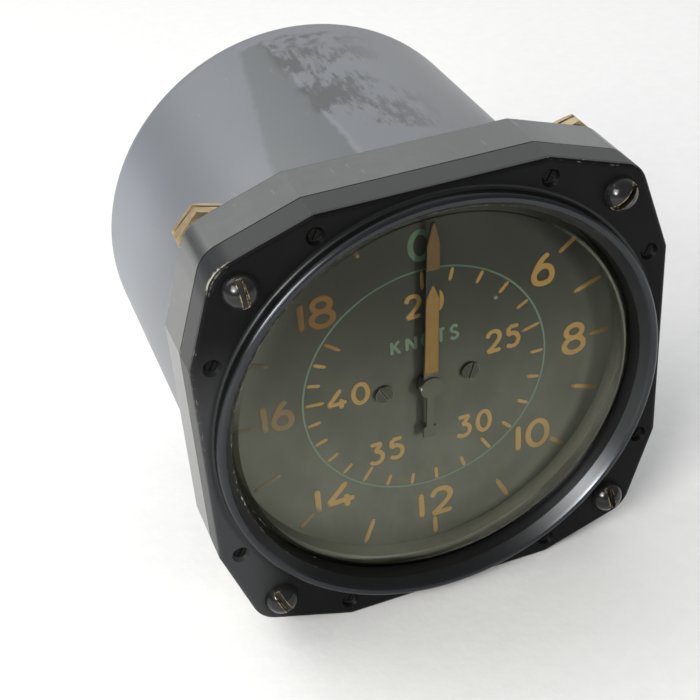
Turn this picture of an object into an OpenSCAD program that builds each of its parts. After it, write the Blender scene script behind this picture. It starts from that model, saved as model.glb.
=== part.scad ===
// Airspeed indicator with a flanged round case, a raised bezel ring and a capsule movement.
// Millimetres. The dial faces -Y and +Z is up on the dial. The origin is the point where
// the dial's axis meets the front face of the bezel plate. Angles on the dial run clockwise
// from the top, as they are read.

/* [Main sizes] */
// Outer radius of the case, which bezel, glass, dial and movement follow
case_r = 39.6; // [37:0.1:44]
// Length from the plate's front face to the back of the case
case_len = 74.85; // [72:0.05:90]

/* [Flange outline] */
// How far the flats of bezel and flange stand out from the case
flat_step = 1.24; // [0.8:0.02:3]
// Half the length of each flat
edge_half = 19.16; // [17.5:0.1:21]
// Slope of the edges that run from a flat to a corner ear
ear_angle = 18.5; // [12:0.5:22]
// Rounding radius of the corner ears
ear_round = 5.5; // [3:0.1:7]
// Rounding of the outer edges of the bezel plate and the flange
edge_soft = 0.8; // [0.4:0.1:1.2]

/* [Bezel] */
// Thickness of the bezel plate
plate_t = 5.85; // [5.4:0.05:8]
// How far the raised ring's wall stands in from the case's outer face
ring_step = 0.4; // [0.2:0.1:1]
// Height of the ring's crest above the plate
ring_h = 2.25; // [2:0.05:4]
// Rounding of the ring's outer top edge
crest_round = 0.9; // [0.5:0.1:1.2]
// Rounding at the foot of the ring's wall
root_round = 0.5; // [0.2:0.1:0.8]
// Width of the ring's dished front face
dish_w = 2.8; // [2.2:0.1:3.4]
// Drop of the dished face from the crest towards the window
dish_drop = 1.9; // [1:0.1:2.1]
// Taper of the window's wall, measured on its radius
throat_taper = 0.5; // [0.2:0.1:0.8]

/* [Glass] */
// Depth of the glass's front face behind the plate's front face
glass_sink = 1.45; // [1.2:0.05:1.9]
// Thickness of the glass
glass_t = 2.8; // [2:0.1:3]
// Width of the bevel round the glass
bevel_w = 1.3; // [0.8:0.1:2]
// Depth of the bevel
bevel_h = 0.5; // [0.3:0.1:0.8]
// Width of the glass's rim that lies under the bezel's lip
rim_w = 1.4; // [1:0.1:1.8]
// Thickness of the rubber ring behind the glass
seal_t = 0.5; // [0.3:0.1:0.7]
// Width of the ring that holds the glass
holder_w = 2.0; // [1.5:0.1:3]

/* [Case] */
// Thickness of the case wall
case_wall = 3.1; // [2.5:0.1:3.4]
// Thickness of the back wall
back_wall = 3.4; // [2.5:0.1:4.5]
// Rounding of the edge between the wall and the back
back_round = 3.4; // [1.5:0.1:5]
// Thickness of the case flange
flange_t = 9.66; // [7:0.1:12]
// Thickness of the gasket between bezel and case
gasket_t = 0.3; // [0.2:0.05:0.6]
// Radius of the three bosses that carry the movement
boss_r = 3.2; // [2.8:0.1:3.6]

/* [Fasteners] */
// Radius of the panel screws' shank
screw_r = 2.1; // [1.7:0.05:2.3]
// Radius of the panel screws' round head
head_r = 3.0; // [2.7:0.1:3.6]
// Height of the panel screws' round head
head_h = 2.7; // [2:0.1:3]
// Width of the panel nuts across their flats
nut_af = 9.5; // [8:0.1:9.6]
// Thickness of each panel nut
nut_t = 2.4; // [1.8:0.05:3]
// Thickness of each lock nut
lock_nut_t = 1.2; // [1.2:0.05:2]
// Chamfer on the corners of the panel nuts
nut_chamfer = 0.3; // [0.2:0.05:0.4]
// Radius of the bezel screws' sunk head
small_head_r = 1.0; // [0.95:0.05:1.3]
// Radius of the bezel screws' shank
small_screw_r = 0.8; // [0.6:0.05:0.9]
// Distance of the bezel screws from the nearest edge of the plate
small_inset = 3.55; // [3:0.05:3.8]
// Depth of the bezel screws' heads below the plate's face
small_sink = 0.7; // [0.2:0.1:1]
// How much wider the bezel screws' dimples are at the plate's face
small_flare = 0.4; // [0.2:0.1:0.6]

/* [Dial and pointer] */
// Depth of the dial behind the case's front face
dial_sink = 1.0; // [0.8:0.1:1.6]
// Thickness of the dial
dial_t = 0.8; // [0.5:0.1:1.2]
// Distance of each dial screw from the dial's centre
dial_screw_at = 7.9; // [6:0.1:12]
// Radius of the dial screws' heads
dial_head_r = 1.6; // [1.2:0.1:2]
// Length of the pointer from its axis to its tip
pointer_len = 31.4; // [24:0.1:34]
// Width of the pointer
pointer_w = 2.6; // [1.6:0.1:3.4]
// Length of the pointer's tail
tail_len = 10.5; // [7:0.1:14]
// Gap between the pointer and the dial
pointer_gap = 1.5; // [1.2:0.1:1.8]
// Angle of the pointer at rest, clockwise from the dial's top
pointer_rest = 3.1; // [0:0.1:6]
// Angle of the end of the scale, counted through a full lap and more
scale_end = 666.5; // [600:0.5:668]

/* [Movement] */
// Thickness of the plate that carries the dial and the movement
front_plate_t = 1.6; // [1.2:0.1:2.2]
// Thickness of the movement's back plate
back_plate_t = 1.5; // [1.2:0.1:2]
// Distance between the movement's plates
pillar_len = 15; // [14:0.1:17]
// Radius of the pillars
pillar_r = 2.0; // [1.6:0.1:2.2]
// Distance of the rocking shaft from the inside of the case
rock_inset = 10.1; // [9.8:0.1:10.6]
// Teeth of the pinion
pinion_teeth = 12; // [11:1:14]
// Teeth that the sector would have on a full circle
sector_teeth = 120; // [112:1:130]
// Thickness of the sector
sector_t = 1.0; // [0.7:0.1:1.4]
// Radius of the pointer's spindle
spindle_r = 0.8; // [0.6:0.05:1]
// Radius of the rocking shaft
rock_r = 1.2; // [1:0.05:1.4]
// Throw of the crank on the rocking shaft
crank_r = 4; // [3.6:0.1:4.2]
// Turns of the hairspring
spring_turns = 5; // [3:1:6]
// Outer radius of the hairspring
spring_r = 6.5; // [5:0.1:8]

/* [Capsule] */
// Radius of the capsule
capsule_r = 15; // [12:0.1:16]
// Height of each of the capsule's two cells
cell_h = 5.4; // [4.5:0.1:5.8]
// Thickness of the capsule's corrugated sheet
capsule_skin = 0.4; // [0.3:0.05:0.6]
// Depth of the corrugations
ripple = 0.45; // [0.2:0.05:0.6]
// Distance of the capsule's shelf from the inside of the case
shelf_inset = 12.5; // [12:0.1:14]
// Thickness of the movement frame
frame_t = 2.4; // [1.8:0.1:3]

/* [Pressure unions] */
// Half the distance between the two unions
union_half = 14; // [12:0.1:16]
// Distance of the unions below the dial's axis
union_drop = 12; // [8:0.1:16]
// Radius of each union's spigot
union_r = 5; // [4:0.1:6]
// Length of each union's spigot
union_len = 12; // [8:0.1:16]
// Radius of each union's bore
union_bore = 2; // [1.5:0.1:2.5]
// Width of each union's hexagon across its flats
union_af = 15; // [13:0.1:17]

/* [Hidden] */
$fn = 96;

// Clearances that several pieces share, and how far a cut runs past the face it goes through
running_gap = 0.04;
hole_gap = 0.15;
slip_gap = 0.3;
nut_gap = 0.1;
glass_gap = 0.2;
skim = 0.01;
past = 1;

// Stations along the axis, from the front to the back
glass_back = glass_sink + glass_t;
rim_front = glass_sink + bevel_h;
seal_back = glass_back + seal_t;
flange_front = plate_t + gasket_t;
flange_back = flange_front + flange_t;
case_inside = case_len - back_wall;
dial_front = flange_front + dial_sink;
dial_back = dial_front + dial_t;
front_plate_back = dial_back + front_plate_t;
back_plate_front = front_plate_back + pillar_len;
back_plate_back = back_plate_front + back_plate_t;
frame_back = back_plate_back + frame_t;
pointer_t = 0.4;
pointer_back = dial_front - pointer_gap;
pointer_front = pointer_back - pointer_t;
hub_over = 0.45;
hub_front = pointer_front - hub_over;
hub_back = dial_front - slip_gap;
hub_r = 2;
hub_skin = 0.3;
hub_neck_r = spindle_r + 0.5;
hub_foot_r = 1.9;
pointer_eye_r = 2.1;
blade_taper = 0.9;
tip_half = 0.2;

// Radii of the window, the glass and what lies behind it
flat_half = case_r + flat_step;
ring_r = case_r - ring_step;
dish_r = ring_r - dish_w;
throat_r = dish_r - throat_taper;
glass_r = throat_r + rim_w;
rabbet_r = glass_r + glass_gap;
holder_short = 0.1;
gasket_inset = 0.3;
bore_r = case_r - case_wall;
dial_r = bore_r - slip_gap;
boss_sunk = 0.3;
boss_ring = bore_r - boss_r + boss_sunk;
boss_angles = [90, 210, 330];
plate_screw_r = 1.2;
plate_screw_sink = 0.9;
plate_screw_reach = 5.5;
plate_hole_reach = plate_screw_reach + 0.5;

// Corner screws, with the turn of each slot from upright
corner_signs = [[-1, 1], [1, 1], [1, -1], [-1, -1]];
hole_half = (case_r + nut_gap + nut_af / 2) / sqrt(2);
slot_turns = [-7, 47, -8, -24];
slot_w = 1.1;
slot_depth = 0.6 * head_h;
nut_face = 0.3;
screw_tip = 1.2;
lock_nut_front = flange_back + nut_t;
lock_nut_back = lock_nut_front + lock_nut_t;

// Bezel screws, two to each flat's end
small_along = edge_half;
small_out = flat_half - small_inset;
small_places = [for (s = [-1, 1], t = [-1, 1], swap = [0, 1])
    swap == 0 ? [s * small_along, t * small_out] : [s * small_out, t * small_along]];
small_head_h = 1.1;
small_depth = small_sink + small_head_h;
small_grip = 5;
small_reach = flange_front + small_grip;
fine_slot_w = 0.3;
fine_slot_depth = 0.25;
fine_slot_turn = 30;

// Screws that hold the dial and the movement's plates
dial_head_h = 0.7;
dial_slot_w = 0.45;
dial_slot_depth = 0.35;
dial_slot_turns = [-28, 20];
back_head_h = 1;
back_slot_w = 0.5;
back_slot_depth = 0.5;
back_slot_turn = 40;

// Gear train and its places on the dial plane, as [x, z]
gear_ratio = sector_teeth / pinion_teeth;
centre_distance = bore_r - rock_inset;
gear_module = 2 * centre_distance / (pinion_teeth + sector_teeth);
pinion_pitch_r = gear_module * pinion_teeth / 2;
sector_pitch_r = gear_module * sector_teeth / 2;
pointer_travel = scale_end - pointer_rest;
sector_travel = pointer_travel / gear_ratio;
half_travel = sector_travel / 2;
pin_swing = crank_r * (1 - cos(half_travel));
rock_x = -crank_r + pin_swing / 2;
rock_at = [rock_x, sqrt(pow(centre_distance, 2) - pow(rock_x, 2))];
mesh_angle = atan2(-rock_at[1], -rock_at[0]);
crank_at = rock_at + crank_r * [cos(half_travel), -sin(half_travel)];
pressure_angle = 20;
backlash = 0.1;
tooth_pitch = 360 / sector_teeth;
lead_teeth = 3;
lag_teeth = ceil(sector_travel / tooth_pitch) + lead_teeth;
sector_lead = mesh_angle + lead_teeth * tooth_pitch;
sector_lag = mesh_angle - lag_teeth * tooth_pitch;
sector_hub_r = 4;
sector_rim = 3;
sector_web = 2;
spoke_turn = 9;
root_depth = 1.25;
sector_tip = 0.65;
pinion_root = 0.95;
pinion_tip = 1;

// Stations of the movement between its plates
sector_stand = 3.5;
sector_front = front_plate_back + sector_stand;
sector_back = sector_front + sector_t;
sector_collet_wall = 1.6;
sector_collet_len = 3;
pinion_over = 0.8;
pinion_front = sector_front - pinion_over;
pinion_back = sector_back + pinion_over;
spring_stand = 5;
spring_front = back_plate_front - spring_stand;
spring_width = 0.6;
spring_back = spring_front + spring_width;
spring_thick = 0.12;
collet_r = 1.5;
collet_over = 0.6;
collet_gap = 0.06;
stud_r = 0.7;
stud_gap = 0.02;
stud_over = 0.4;
spring_start_r = collet_r + spring_thick + collet_gap;
bush_wall = 0.9;
bush_flange = 0.5;
bush_flange_w = 0.7;
stop_r = 0.8;
stop_over = 1;
stop_radius = 10;
stop_turn = asin((stop_r + slip_gap) / stop_radius);
pillar_inset = 2.2;
pillar_ring = dial_r - pillar_r - pillar_inset;
pillar_angles = [20, 132, 228, 286];

// Capsule, link and frame behind the movement
pin_r = 0.6;
pin_collar = 0.5;
open_eye_gap = 0.45;
open_eye_r = pin_r + open_eye_gap;
eye_wall = 0.8;
capsule_gap = 1.6;
capsule_y = frame_back + capsule_gap + capsule_r;
capsule_bore = 1;
capsule_edge = 1.8;
ripples = 4;
shelf_top = shelf_inset - bore_r;
shelf_bottom = shelf_top - frame_t;
shelf_over = 3;
stem_r = 2.5;
stem_bore = 0.8;
stem_collar_h = 1.5;
stem_collar_w = 1.5;
capsule_bottom = shelf_top + stem_collar_h;
cell_neck = 1.2;
capsule_top = capsule_bottom + 2 * cell_h + cell_neck;
capsule_nut_t = 2.2;
capsule_nut_af = 8;
boss_h = 1.2;
tongue_h = 7;
tongue_w = 3;
tongue_t = 1.2;
post_pin_z = capsule_top + tongue_h;
link_t = 0.8;
strap_w = 1.4;
link_front = capsule_y + tongue_t / 2 + slip_gap;
link_back = link_front + link_t;
crank_wall = 1.2;
crank_boss = 1.4;
crank_w = 2.6;
frame_half = 8.2;
frame_screw_z = 16;
frame_screw_heights = [-frame_screw_z, frame_screw_z];
frame_head_h = 1;
arm_gap = 0.9;
arm_bottom = rock_at[1] + crank_r * sin(half_travel) + pin_r + eye_wall + arm_gap;
arm_top = arm_bottom + frame_t;
lug_gap = 4;
lug_wall = 1.4;
lug_front = link_back + lug_gap;
lug_back = lug_front + frame_t;
lug_bottom = rock_at[1] - rock_r - bush_wall - lug_wall;
shaft_short = 0.2;
shaft_over = 0.6;
stem_outlet_drop = 5;
stem_outlet_z = shelf_bottom - stem_outlet_drop;
pipe_r = 1.2;
spigot_r = 1.7;
spigot_len = 5;
union_shoulder = 3.5;
union_shank = 5.5;
washer_t = 0.8;
union_nut_t = 2.6;
union_nut_af = union_af - 1;
union_chamfer = 0.8;

// A place on the dial plane at an angle clockwise from the top
function dial_place(turn, r) = [r * sin(turn), r * cos(turn)];

// A place on the dial plane at an angle anticlockwise from +X
function polar(turn, r) = [r * cos(turn), r * sin(turn)];

// Points along an arc about a centre
function arc(centre, r, from, to, steps) =
    [for (i = [0:steps]) centre + polar(from + (to - from) * i / steps, r)];

// Outline of the bezel plate and the flange, moved in by an inset
function flange_points(inset = 0) =
    let (
        slope = tan(ear_angle),
        tip = (flat_half + edge_half * slope) / (1 + slope),
        centre = tip - ear_round / (sin(ear_angle) + cos(ear_angle)),
        flat = flat_half - inset,
        half = edge_half - inset * tan(ear_angle / 2),
        ear = arc([centre, centre], ear_round - inset, ear_angle, 90 - ear_angle, 12),
        quarter = concat([[flat, half]], ear, [[half, flat]])
    )
    [for (k = [0:3], p = quarter)
        [p[0] * cos(90 * k) - p[1] * sin(90 * k), p[0] * sin(90 * k) + p[1] * cos(90 * k)]];

// Involute of a base circle, as the angle it has turned at a radius
function involute_turn(base_r, r) =
    r <= base_r ? 0 : tan(acos(base_r / r)) * 180 / PI - acos(base_r / r);

// Half the angle of a tooth at a radius
function tooth_half(teeth, pitch_r, r, thin) =
    let (base_r = pitch_r * cos(pressure_angle))
    90 / teeth - thin + involute_turn(base_r, pitch_r) - involute_turn(base_r, r);

// One tooth's outline about a direction, from root to tip and back
function tooth_points(teeth, pitch_r, root_r, tip_r, thin, turn) =
    let (
        steps = 5,
        base_r = max(root_r, pitch_r * cos(pressure_angle)),
        radii = [for (i = [0:steps]) base_r + (tip_r - base_r) * i / steps],
        foot = tooth_half(teeth, pitch_r, base_r, thin)
    )
    concat(
        [polar(turn - foot, root_r)],
        [for (r = radii) polar(turn - tooth_half(teeth, pitch_r, r, thin), r)],
        [for (i = [steps:-1:0]) polar(turn + tooth_half(teeth, pitch_r, radii[i], thin), radii[i])],
        [polar(turn + foot, root_r)]
    );

// A flat shape drawn on the dial plane and given a depth from y0 to y1
module slab(y0, y1) {
    translate([0, y1, 0])
        rotate([90, 0, 0])
            linear_extrude(y1 - y0) children();
}

// A round rod along the axis from y0 to y1, at a place on the dial plane
module rod(r, y0, y1, at = [0, 0]) {
    translate([at[0], y1, at[1]])
        rotate([90, 0, 0])
            cylinder(r = r, h = y1 - y0);
}

// A hexagonal prism along the axis, with one flat turned to an angle
module hex_rod(af, y0, y1, at, turn) {
    translate([at[0], y1, at[1]])
        rotate([90, 0, 0])
            rotate([0, 0, turn + 30])
                cylinder(d = af / cos(30), h = y1 - y0, $fn = 6);
}

// A turned piece: its profile is given as [radius, y]
module turned(profile, at = [0, 0]) {
    translate([at[0], 0, at[1]])
        rotate([-90, 0, 0])
            rotate_extrude() polygon(profile);
}

// The rounded edge of the flange outline, rising from y_edge towards y_full
module soft_edge(y_edge, y_full) {
    depth = y_full - y_edge;
    inward = skim * sign(depth);
    hull() {
        for (a = [0:30:90]) {
            y = y_edge + depth * (1 - cos(a));
            slab(min(y, y + inward), max(y, y + inward))
                polygon(flange_points(edge_soft * (1 - sin(a))));
        }
    }
}

// A straight screw slot across a head whose top is at y_top
module slot(at, turn, y_top, width, depth, reach) {
    translate([at[0], y_top, at[1]])
        rotate([0, turn, 0])
            translate([-width / 2, -skim, -reach])
                cube([width, depth + skim, 2 * reach]);
}

module case() {
    color([0.30, 0.32, 0.34])
    difference() {
        union() {
            slab(flange_front, flange_back - edge_soft) polygon(flange_points());
            soft_edge(flange_back, flange_back - edge_soft);
            turned(concat(
                [[0, flange_back - edge_soft], [case_r, flange_back - edge_soft]],
                [for (p = arc([case_r - back_round, case_len - back_round], back_round, 0, 90, 8)) p],
                [[0, case_len]]
            ));
        }
        difference() {
            rod(bore_r, flange_front - past, case_inside);
            for (a = boss_angles)
                rod(boss_r, front_plate_back, case_inside + skim, dial_place(a, boss_ring));
        }
        for (a = boss_angles)
            rod(plate_screw_r, front_plate_back - past, front_plate_back + plate_hole_reach,
                dial_place(a, boss_ring));
        for (s = corner_signs)
            rod(screw_r + hole_gap, flange_front - past, flange_back + past, hole_half * s);
        for (p = small_places)
            rod(small_screw_r, flange_front - past, small_reach, p);
        for (s = [-1, 1])
            rod(union_r, case_inside - past, case_len + past, [s * union_half, -union_drop]);
    }
}

module bezel() {
    wall_top = -ring_h + crest_round;
    crest = [ring_r - crest_round, wall_top];
    root = [ring_r + root_round, -root_round];
    dimple_r = small_head_r + hole_gap;
    color([0.09, 0.09, 0.09])
    difference() {
        union() {
            soft_edge(0, edge_soft);
            slab(edge_soft, plate_t) polygon(flange_points());
            turned(concat(
                [[0, edge_soft], [ring_r + root_round, edge_soft]],
                arc(root, root_round, 90, 180, 6),
                arc(crest, crest_round, 0, -120, 10),
                [[dish_r, dish_drop - ring_h], [0, dish_drop - ring_h]]
            ));
        }
        turned([
            [0, -ring_h - past], [dish_r, -ring_h - past], [dish_r, dish_drop - ring_h],
            [throat_r, rim_front], [rabbet_r, rim_front], [rabbet_r, plate_t + past], [0, plate_t + past]
        ]);
        for (s = corner_signs)
            rod(screw_r + hole_gap, -past, plate_t + past, hole_half * s);
        for (p = small_places) {
            turned([
                [0, -past], [dimple_r + small_flare, -past], [dimple_r + small_flare, 0],
                [dimple_r, small_sink], [dimple_r, small_depth], [0, small_depth]
            ], p);
            rod(small_screw_r + hole_gap, -past, plate_t + past, p);
        }
    }
}

module glass() {
    bevel_r = throat_r - skim;
    color([0.8, 0.85, 0.82, 0.35])
    turned([
        [0, glass_sink], [bevel_r - bevel_w, glass_sink], [bevel_r, rim_front],
        [glass_r, rim_front], [glass_r, glass_back], [0, glass_back]
    ]);
}

module glass_seal() {
    color([0.12, 0.12, 0.11])
    turned([
        [glass_r - holder_w, glass_back], [glass_r, glass_back],
        [glass_r, seal_back], [glass_r - holder_w, seal_back]
    ]);
}

module glass_holder() {
    back = plate_t - holder_short;
    color([0.14, 0.14, 0.14])
    turned([
        [glass_r - holder_w, seal_back], [rabbet_r, seal_back],
        [rabbet_r, back], [glass_r - holder_w, back]
    ]);
}

module case_gasket() {
    color([0.07, 0.07, 0.06])
    difference() {
        slab(plate_t, flange_front) polygon(flange_points(gasket_inset));
        rod(rabbet_r + glass_gap, plate_t - past, flange_front + past);
        for (s = corner_signs)
            rod(screw_r + hole_gap, plate_t - past, flange_front + past, hole_half * s);
        for (p = small_places)
            rod(small_screw_r + hole_gap, plate_t - past, flange_front + past, p);
    }
}

module bezel_screws() {
    color([0.1, 0.1, 0.1])
    for (p = small_places) {
        difference() {
            rod(small_head_r, small_sink, small_depth, p);
            slot(p, fine_slot_turn, small_sink, fine_slot_w, fine_slot_depth, small_head_r + past);
        }
        rod(small_screw_r, small_depth, small_reach, p);
    }
}

module panel_screws() {
    ball_r = (pow(head_r, 2) + pow(head_h, 2)) / (2 * head_h);
    color([0.2, 0.17, 0.1])
    for (k = [0:3]) {
        at = hole_half * corner_signs[k];
        difference() {
            intersection() {
                translate([at[0], ball_r - head_h, at[1]]) sphere(ball_r);
                rod(head_r + past, -head_h - past, 0, at);
            }
            slot(at, slot_turns[k], -head_h, slot_w, slot_depth, head_r + past);
        }
        rod(screw_r, 0, lock_nut_back + screw_tip, at);
    }
}

// Four hexagon nuts on the panel screws, each with a flat turned to the case, its corners chamfered
// and its front face turned down a little
module corner_nuts(front, back) {
    corner_r = nut_af / sqrt(3) + skim;
    face_r = nut_af / 2 - nut_face;
    for (s = corner_signs) {
        at = hole_half * s;
        difference() {
            intersection() {
                hex_rod(nut_af, front, back, at, atan2(s[1], s[0]));
                turned([
                    [0, front], [face_r, front], [face_r, front + nut_face],
                    [corner_r, front + nut_face + nut_chamfer], [corner_r, back - nut_chamfer],
                    [nut_af / 2, back], [0, back]
                ], at);
            }
            rod(screw_r, front - past, back + past, at);
        }
    }
}

module panel_nuts() {
    color([0.72, 0.62, 0.38]) corner_nuts(flange_back, lock_nut_front);
}

module lock_nuts() {
    color([0.70, 0.60, 0.36]) corner_nuts(lock_nut_front, lock_nut_back);
}

module dial() {
    color([0.16, 0.16, 0.14])
    difference() {
        rod(dial_r, dial_front, dial_back);
        rod(spindle_r + bush_wall + slip_gap, dial_front - past, dial_back + past);
        for (s = [-1, 1])
            rod(small_screw_r, dial_front - past, dial_back + past, [s * dial_screw_at, 0]);
    }
}

module dial_screws() {
    head_top = dial_front - dial_head_h;
    color([0.2, 0.2, 0.18])
    for (k = [0, 1]) {
        at = [(2 * k - 1) * dial_screw_at, 0];
        difference() {
            rod(dial_head_r, head_top, dial_front, at);
            slot(at, dial_slot_turns[k], head_top, dial_slot_w, dial_slot_depth, dial_head_r + past);
        }
        rod(small_screw_r, dial_front, front_plate_back, at);
    }
}

module front_plate() {
    color([0.68, 0.60, 0.40])
    difference() {
        rod(dial_r, dial_back, front_plate_back);
        rod(spindle_r + bush_wall, dial_back - past, front_plate_back + past);
        rod(rock_r + bush_wall, dial_back - past, front_plate_back + past, rock_at);
        for (s = [-1, 1])
            rod(small_screw_r, dial_back - past, front_plate_back + past, [s * dial_screw_at, 0]);
        for (a = boss_angles)
            plate_screw(a, 0);
    }
}

// One countersunk screw through the front plate into a boss of the case
module plate_screw(turn, reach) {
    turned([
        [0, dial_back], [plate_screw_r + plate_screw_sink, dial_back],
        [plate_screw_r, dial_back + plate_screw_sink],
        [plate_screw_r, front_plate_back + reach], [0, front_plate_back + reach]
    ], dial_place(turn, boss_ring));
}

module front_plate_screws() {
    color([0.55, 0.56, 0.58])
    for (a = boss_angles)
        plate_screw(a, plate_screw_reach);
}

module pillars() {
    color([0.72, 0.62, 0.40])
    for (a = pillar_angles)
        rod(pillar_r, front_plate_back, back_plate_front, dial_place(a, pillar_ring));
}

module back_plate() {
    color([0.70, 0.61, 0.40])
    difference() {
        rod(dial_r, back_plate_front, back_plate_back);
        for (a = boss_angles)
            rod(boss_r + 2 * slip_gap, back_plate_front - past, back_plate_back + past,
                dial_place(a, boss_ring));
        rod(spindle_r + bush_wall, back_plate_front - past, back_plate_back + past);
        rod(rock_r + slip_gap, back_plate_front - past, back_plate_back + past, rock_at);
        for (a = pillar_angles)
            rod(small_screw_r, back_plate_front - past, back_plate_back + past, dial_place(a, pillar_ring));
        for (z = frame_screw_heights)
            rod(small_screw_r, back_plate_front - past, back_plate_back + past, [0, z]);
    }
}

module back_plate_screws() {
    head_top = back_plate_back + back_head_h;
    color([0.55, 0.56, 0.58])
    for (a = pillar_angles) {
        at = dial_place(a, pillar_ring);
        difference() {
            rod(pillar_r, back_plate_back, head_top, at);
            translate([at[0], head_top, at[1]])
                mirror([0, 1, 0])
                    slot([0, 0], back_slot_turn, 0, back_slot_w, back_slot_depth, pillar_r + past);
        }
        rod(small_screw_r, back_plate_front, back_plate_back, at);
    }
}

// A plain bearing bush with a flange on its inner side
module bush(bore, front, back, flange_front, flange_back, at) {
    difference() {
        union() {
            rod(bore + bush_wall, front, back, at);
            rod(bore + bush_wall + bush_flange_w, flange_front, flange_back, at);
        }
        rod(bore + running_gap, min(front, flange_front) - past, max(back, flange_back) + past, at);
    }
}

module spindle_front_bush() {
    color([0.80, 0.66, 0.30])
    bush(spindle_r, dial_front, front_plate_back,
        front_plate_back, front_plate_back + bush_flange, [0, 0]);
}

module spindle_back_bush() {
    color([0.80, 0.66, 0.30])
    bush(spindle_r, back_plate_front, back_plate_back,
        back_plate_front - bush_flange, back_plate_front, [0, 0]);
}

module rocker_front_bush() {
    color([0.80, 0.66, 0.30])
    bush(rock_r, dial_back, front_plate_back,
        front_plate_back, front_plate_back + bush_flange, rock_at);
}

module rocker_back_bush() {
    color([0.80, 0.66, 0.30])
    bush(rock_r, lug_front, lug_back, lug_front - bush_flange, lug_front, rock_at);
}

module stop_pins() {
    color([0.60, 0.61, 0.63])
    for (turn = [sector_lag - stop_turn, sector_lead + sector_travel + stop_turn])
        rod(stop_r, front_plate_back, sector_back + stop_over, rock_at + polar(turn, stop_radius));
}

module movement_frame() {
    shelf_back = capsule_y + stem_r + shelf_over;
    color([0.62, 0.60, 0.55])
    difference() {
        translate([-frame_half, 0, 0])
            rotate([90, 0, 90])
                linear_extrude(2 * frame_half) polygon([
                    [back_plate_back, shelf_bottom], [shelf_back, shelf_bottom],
                    [shelf_back, shelf_top], [frame_back, shelf_top],
                    [frame_back, arm_bottom], [lug_front, arm_bottom],
                    [lug_front, lug_bottom], [lug_back, lug_bottom],
                    [lug_back, arm_top], [back_plate_back, arm_top]
                ]);
        rod(rock_r + slip_gap, back_plate_back - past, frame_back + past, rock_at);
        rod(rock_r + bush_wall, lug_front - past, lug_back + past, rock_at);
        for (z = frame_screw_heights)
            rod(small_screw_r, back_plate_back - past, frame_back + past, [0, z]);
        translate([0, capsule_y, shelf_bottom - past]) cylinder(r = stem_r, h = frame_t + 2 * past);
    }
}

module frame_screws() {
    color([0.55, 0.56, 0.58])
    for (z = frame_screw_heights) {
        rod(small_screw_r, back_plate_front, frame_back, [0, z]);
        rod(2 * small_screw_r, frame_back, frame_back + frame_head_h, [0, z]);
    }
}

// One corrugated disc of the capsule: from its neck up to its rim, as [radius, z] points
function ripple_height(r) =
    let (
        neck_r = stem_r + capsule_bore,
        flat_r = capsule_r - capsule_edge,
        span = cell_h / 2,
        wave = 360 * ripples * (r - neck_r) / (flat_r - neck_r)
    )
    r >= flat_r ? span * (capsule_r - r) / capsule_edge
    : r <= neck_r ? span
    : span - ripple * (0.5 - 0.5 * cos(wave));

module capsule_disc(z_mid, side) {
    steps = 36;
    radii = [for (i = [0:steps]) capsule_bore + (capsule_r - capsule_bore) * i / steps];
    outer = [for (r = radii) [r, z_mid + side * max(ripple_height(r), capsule_skin)]];
    inner = [for (i = [steps:-1:0])
        [radii[i], z_mid + side * max(ripple_height(radii[i]) - capsule_skin, -capsule_skin / 2)]];
    rotate_extrude() polygon(concat(outer, inner));
}

module capsule() {
    first_mid = capsule_bottom + cell_h / 2;
    second_mid = first_mid + cell_h + cell_neck;
    color([0.74, 0.64, 0.38])
    translate([0, capsule_y, 0])
        union() {
            for (mid = [first_mid, second_mid], side = [-1, 1])
                capsule_disc(mid, side);
            translate([0, 0, first_mid + cell_h / 2 - capsule_skin / 2])
                difference() {
                    cylinder(r = stem_r, h = cell_neck + capsule_skin);
                    translate([0, 0, -past]) cylinder(r = capsule_bore, h = cell_neck + 3 * past);
                }
        }
}

module capsule_stem() {
    color([0.72, 0.62, 0.36])
    difference() {
        union() {
            translate([0, capsule_y, shelf_top]) cylinder(r = stem_r + stem_collar_w, h = stem_collar_h);
            translate([0, capsule_y, stem_outlet_z - stem_r])
                cylinder(r = stem_r, h = shelf_top - stem_outlet_z + stem_r);
            rod(spigot_r, capsule_y, capsule_y + spigot_len, [0, stem_outlet_z]);
        }
        translate([0, capsule_y, stem_outlet_z])
            cylinder(r = stem_bore, h = capsule_bottom - stem_outlet_z + past);
        rod(stem_bore, capsule_y, capsule_y + spigot_len + past, [0, stem_outlet_z]);
    }
}

module capsule_nut() {
    color([0.70, 0.60, 0.34])
    translate([0, capsule_y, shelf_bottom - capsule_nut_t])
        difference() {
            cylinder(d = capsule_nut_af / cos(30), h = capsule_nut_t, $fn = 6);
            translate([0, 0, -past]) cylinder(r = stem_r, h = capsule_nut_t + 2 * past);
        }
}

module capsule_post() {
    color([0.66, 0.66, 0.66])
    difference() {
        union() {
            translate([0, capsule_y, capsule_top]) cylinder(r = stem_r, h = boss_h);
            translate([-tongue_w / 2, capsule_y - tongue_t / 2, capsule_top + boss_h])
                cube([tongue_w, tongue_t, post_pin_z - capsule_top - boss_h]);
            rod(tongue_w / 2, capsule_y - tongue_t / 2, capsule_y + tongue_t / 2, [0, post_pin_z]);
        }
        rod(pin_r, capsule_y - tongue_t, capsule_y + tongue_t, [0, post_pin_z]);
    }
}

// A pivot pin through a lever, the link's eye and a retaining collar
module pivot_pin(from, to, eye_r, at) {
    rod(pin_r, from, to, at);
    rod(eye_r + pin_collar, to, to + pin_collar, at);
}

module post_pin() {
    color([0.75, 0.76, 0.78])
    pivot_pin(capsule_y - tongue_t / 2, link_back + slip_gap, open_eye_r, [0, post_pin_z]);
}

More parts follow.
